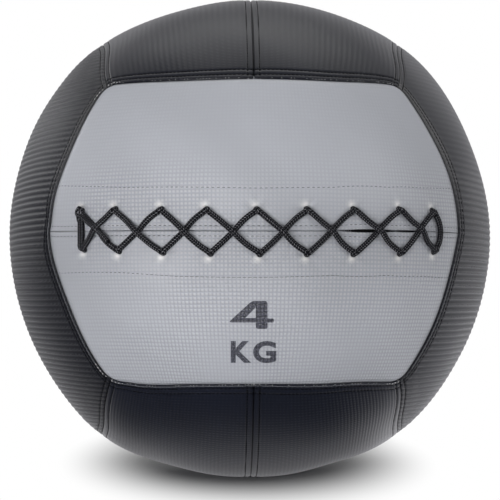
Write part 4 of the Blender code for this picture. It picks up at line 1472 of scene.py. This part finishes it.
# What lies inside: yarns or cells, their width and depth in millimetres, dark, light and roughness
inside = {
    "foam": ("cell", 1.3, 0.5, (0.5, 0.47, 0.38), (0.7, 0.68, 0.6), 0.9),
    "canvas": ("yarn", 0.9, 0.25, (0.008, 0.008, 0.009), (0.028, 0.028, 0.031), 0.8),
    "lace": ("yarn", 1.2, 0.3, (0.004, 0.004, 0.005), (0.03, 0.03, 0.033), 0.7),
    "liner_cloth": ("yarn", 0.7, 0.15, (0.4, 0.38, 0.34), (0.6, 0.58, 0.54), 0.85),
    "bag_cloth": ("yarn", 0.6, 0.12, (0.15, 0.16, 0.13), (0.29, 0.3, 0.27), 0.8),
    "stuffing": ("cell", 9, 1.4, (0.34, 0.31, 0.3), (0.74, 0.7, 0.62), 0.95),
    "granules": ("cell", 1.6, 0.8, (0.1, 0.09, 0.08), (0.3, 0.29, 0.28), 0.5),
}


# Yarns crossing over and under each other on any curved face
def buildClothGroup():
    inputs = {"Place": "Vector", "Yarn": 0.8 * mm}
    kit, given = newGroup("plainCloth", "ShaderNodeTree", inputs, {"Height": "Float", "Worn": "Float"})
    yarns = []
    for part in kit.split(given["Place"]):
        turns = kit.scaled(kit.maths("DIVIDE", part, given["Yarn"]), pi)
        yarns.append(kit.maths("ABSOLUTE", kit.maths("SINE", turns)))
    height = kit.maths("DIVIDE", kit.maths("ADD", kit.maths("ADD", yarns[0], yarns[1]), yarns[2]), 3.0)
    kit.add("NodeGroupOutput", {"Height": height, "Worn": kit.noise(given["Place"], 25.0, 4.0)})
    return kit.tree


# Rounded cells side by side: foam pores, shreds of stuffing or grains
def buildCellGroup():
    inputs = {"Place": "Vector", "Cell": 2 * mm}
    kit, given = newGroup("packedCells", "ShaderNodeTree", inputs, {"Height": "Float", "Worn": "Float"})
    scale = kit.maths("DIVIDE", 1.0, given["Cell"])
    cells = kit.add("ShaderNodeTexVoronoi", {"Vector": given["Place"], "Scale": scale}).outputs
    rounded = kit.maths("SUBTRACT", 1.0, cells["Distance"])
    height = kit.maths("MULTIPLY_ADD", kit.noise(given["Place"], 700.0, 3.0), 0.25, rounded)
    shade = kit.add("ShaderNodeSeparateColor", {0: cells["Color"]}).outputs[0]
    kit.add("NodeGroupOutput", {"Height": height, "Worn": shade})
    return kit.tree


groups = {"yarn": buildClothGroup(), "cell": buildCellGroup()}


def insideMaterial(name, kind, width, depth, dark, light, rough):
    material, kit, shader = newMaterial(name)
    inputs = {0: kit.place(), 1: width * mm}
    height, worn = kit.add("ShaderNodeGroup", inputs, node_tree=groups[kind]).outputs
    shade = kit.scaled(kit.maths("ADD", height, worn), 0.5)
    inputs = {"Base Color": kit.mixColour(shade, dark, light), "Normal": kit.bump(height, 0.8, depth * mm)}
    inputs["Roughness"] = kit.maths("MULTIPLY_ADD", worn, -0.12, rough)
    kit.feed(shader, {**inputs, "Metallic": 0.8 if name == "granules" else 0.0})
    return material


insideMaterials = {name: insideMaterial(name, *look) for name, look in inside.items()}
for part in frame["record"]["subparts"]:
    piece = frame["nodes"][part["node"]]
    if not piece.hide_render:
        for place in piece.material_slots:
            place.material = insideMaterials[part["material_slot"]]
print("inner layers finished")

# Floor, backdrop, light and camera. A sheen is the strength that gloss sees, first and last over a run
studio = {
    "floorColour": 0.8,
    "seenColour": 0.57,
    "sheenUnder": 0.66,
    "underBehind": 0.85,
    "underRun": (0.075, 0.13),
    "leftRun": (-0.5, 1),
    "sheenLeft": (0.12, 1.1),
    "nearLeft": (0.18, 0.36, 1.46, 1),
    "rightRun": (-0.9, 0.1),
    "sheenRight": (0.17, 1.47),
    "nearRight": (0.12, 0.24, 0.93, 1),
    "middleRun": (-0.03, 0.03),
    "farRun": (0.6, 1.4),
    "sheenFar": 0.5,
    "wallRun": (0.6, 1),
    "sheenWall": (0.85, 0.5),
    "sheenColour": (0.99, 0.983, 1.02),
    "world": 0.42,
    "floorSize": 8,
    "wallBehind": 3.5,
    "shadowPlace": (0, 0.16, 0),
    "shadowShape": (1, 0.41, 1),
    "shadowReach": 0.08,
    "whiteFrom": 0.1555,
    "target": (0, 0, 0.17),
}


# Plain pale paper to the light, white to the camera away from the ball's shadow. Inside that shaped patch,
# which reaches behind the ball, the camera sees the paper darker than the light does: a painted shadow over
# the real one. Gloss sees a painted reflection, the paper glowing as a lit sweep: dark in front of the ball,
# brightening round both sides to the back, more so on the right
def stageMaterial(name):
    material, kit, shader = newMaterial(name)
    kit.tree.nodes.remove(shader)
    path = kit.add("ShaderNodeLightPath").outputs
    gloss = kit.maths("MAXIMUM", path["Is Glossy Ray"], path["Is Transmission Ray"])
    shades = {3: studio["floorColour"], 4: studio["seenColour"]}
    shade = kit.add("ShaderNodeMapRange", {0: path["Is Camera Ray"], **shades}).outputs[0]
    paperColour = kit.add("ShaderNodeCombineColor", {0: shade, 1: shade, 2: shade}).outputs[0]
    place = kit.place()
    parts = kit.split(place)
    shaped = kit.vectorMaths("SUBTRACT", place, studio["shadowPlace"])
    shaped = kit.vectorMaths("MULTIPLY", shaped, studio["shadowShape"])
    reach = kit.vectorMaths("LENGTH", shaped, result="Value")
    far = kit.ramp(reach, studio["shadowReach"], studio["whiteFrom"], 0, 1)
    flatReach = kit.vectorMaths("LENGTH", kit.vectorMaths("MULTIPLY", place, (1, 1, 0)), result="Value")
    backward = kit.maths("DIVIDE", parts[1], flatReach)
    sides = []
    for side in ("Left", "Right"):
        sheen = kit.ramp(backward, *studio[f"{side.lower()}Run"], *studio[f"sheen{side}"])
        sides.append(kit.scaled(sheen, kit.ramp(flatReach, *studio[f"near{side}"])))
    onFloor = kit.mix(kit.ramp(parts[0], *studio["middleRun"], 0, 1), *sides)
    onFloor = kit.scaled(onFloor, kit.ramp(flatReach, *studio["farRun"], 1, studio["sheenFar"]))
    behind = kit.scaled(kit.maths("MAXIMUM", parts[1], 0.0), studio["underBehind"])
    forward = kit.maths("SUBTRACT", parts[1], behind)
    near = kit.add("ShaderNodeCombineXYZ", {0: parts[0], 1: forward}).outputs[0]
    away = kit.ramp(kit.vectorMaths("LENGTH", near, result="Value"), *studio["underRun"], 0, 1)
    onFloor = kit.mix(away, studio["sheenUnder"], onFloor)
    onWall = kit.ramp(kit.maths("DIVIDE", parts[2], flatReach), *studio["wallRun"], *studio["sheenWall"])
    sheen = kit.mix(kit.maths("GREATER_THAN", parts[2], 0.001), onFloor, onWall)
    tint = kit.mixColour(gloss, (1, 1, 1), studio["sheenColour"])
    white = kit.add("ShaderNodeEmission", {"Color": tint, "Strength": kit.mix(gloss, 1.0, sheen)}).outputs[0]
    paper = kit.add("ShaderNodeBsdfDiffuse", {"Color": paperColour}).outputs[0]
    shown = kit.maths("MAXIMUM", kit.scaled(far, path["Is Camera Ray"]), gloss)
    mixed = kit.add("ShaderNodeMixShader", {0: shown, 1: paper, 2: white}).outputs[0]
    kit.feed(kit.tree.nodes["Material Output"], {"Surface": mixed})
    return material


paper, size, wall = stageMaterial("studio paper"), studio["floorSize"], studio["wallBehind"]
for name, front, top in (("floor", -size, 0), ("backdrop", wall, size)):
    mesh = bpy.data.meshes.new(name)
    edge = [(-size, front, 0), (size, front, 0), (size, wall, top), (-size, wall, top)]
    mesh.from_pydata(edge, [], [(0, 1, 2, 3)])
    mesh.materials.append(paper)
    linked(name, mesh)

scene.world = bpy.data.worlds.new("studio")
scene.world.use_nodes = True
background = {"Color": (1, 1, 1, 1), "Strength": studio["world"]}
Kit(scene.world.node_tree).feed(scene.world.node_tree.nodes["Background"], background)


def aimed(made, place, ahead):
    made.location = place
    made.rotation_euler = Vector(ahead).to_track_quat("-Z", "Y").to_euler()
    return made


# Lamps: place, size and power
lamps = {
    "over": ((0, 0.1, 2.0), (1.6, 1.6), 7.7),
    "behind": ((0.1, 0.5, 1.9), (2.6, 0.8), 5),
    "right": ((1.9, -1.2, 0.6), (1.0, 1.2), 8.5),
    "low": ((-0.35, -0.85, 0.02), (0.7, 0.25), 7.8),
    "left edge": ((-1.3, 0.85, 0.86), (0.8, 0.6), 2.6),
    "right edge": ((1.42, 0.92, 0.3), (0.8, 0.5), 1.0),
}
for name, (place, (lampWidth, lampHeight), power) in lamps.items():
    data = bpy.data.lights.new(name, "AREA")
    data.shape, data.size, data.size_y, data.energy = "RECTANGLE", lampWidth, lampHeight, power
    aimed(linked(name, data), place, Vector(studio["target"]) - Vector(place))

cameraData = bpy.data.cameras.new("camera")
cameraData.sensor_width = photoView["sensor"]
cameraData.lens = photoView["sensor"] * photoView["pixelsPerTangent"] / photoView["imageSize"]
cameraData.clip_start = 0.05
scene.camera = aimed(linked("camera", cameraData), cameraPlace, cameraAhead)
scene.view_settings.view_transform = "Standard"
print("camera and light set")
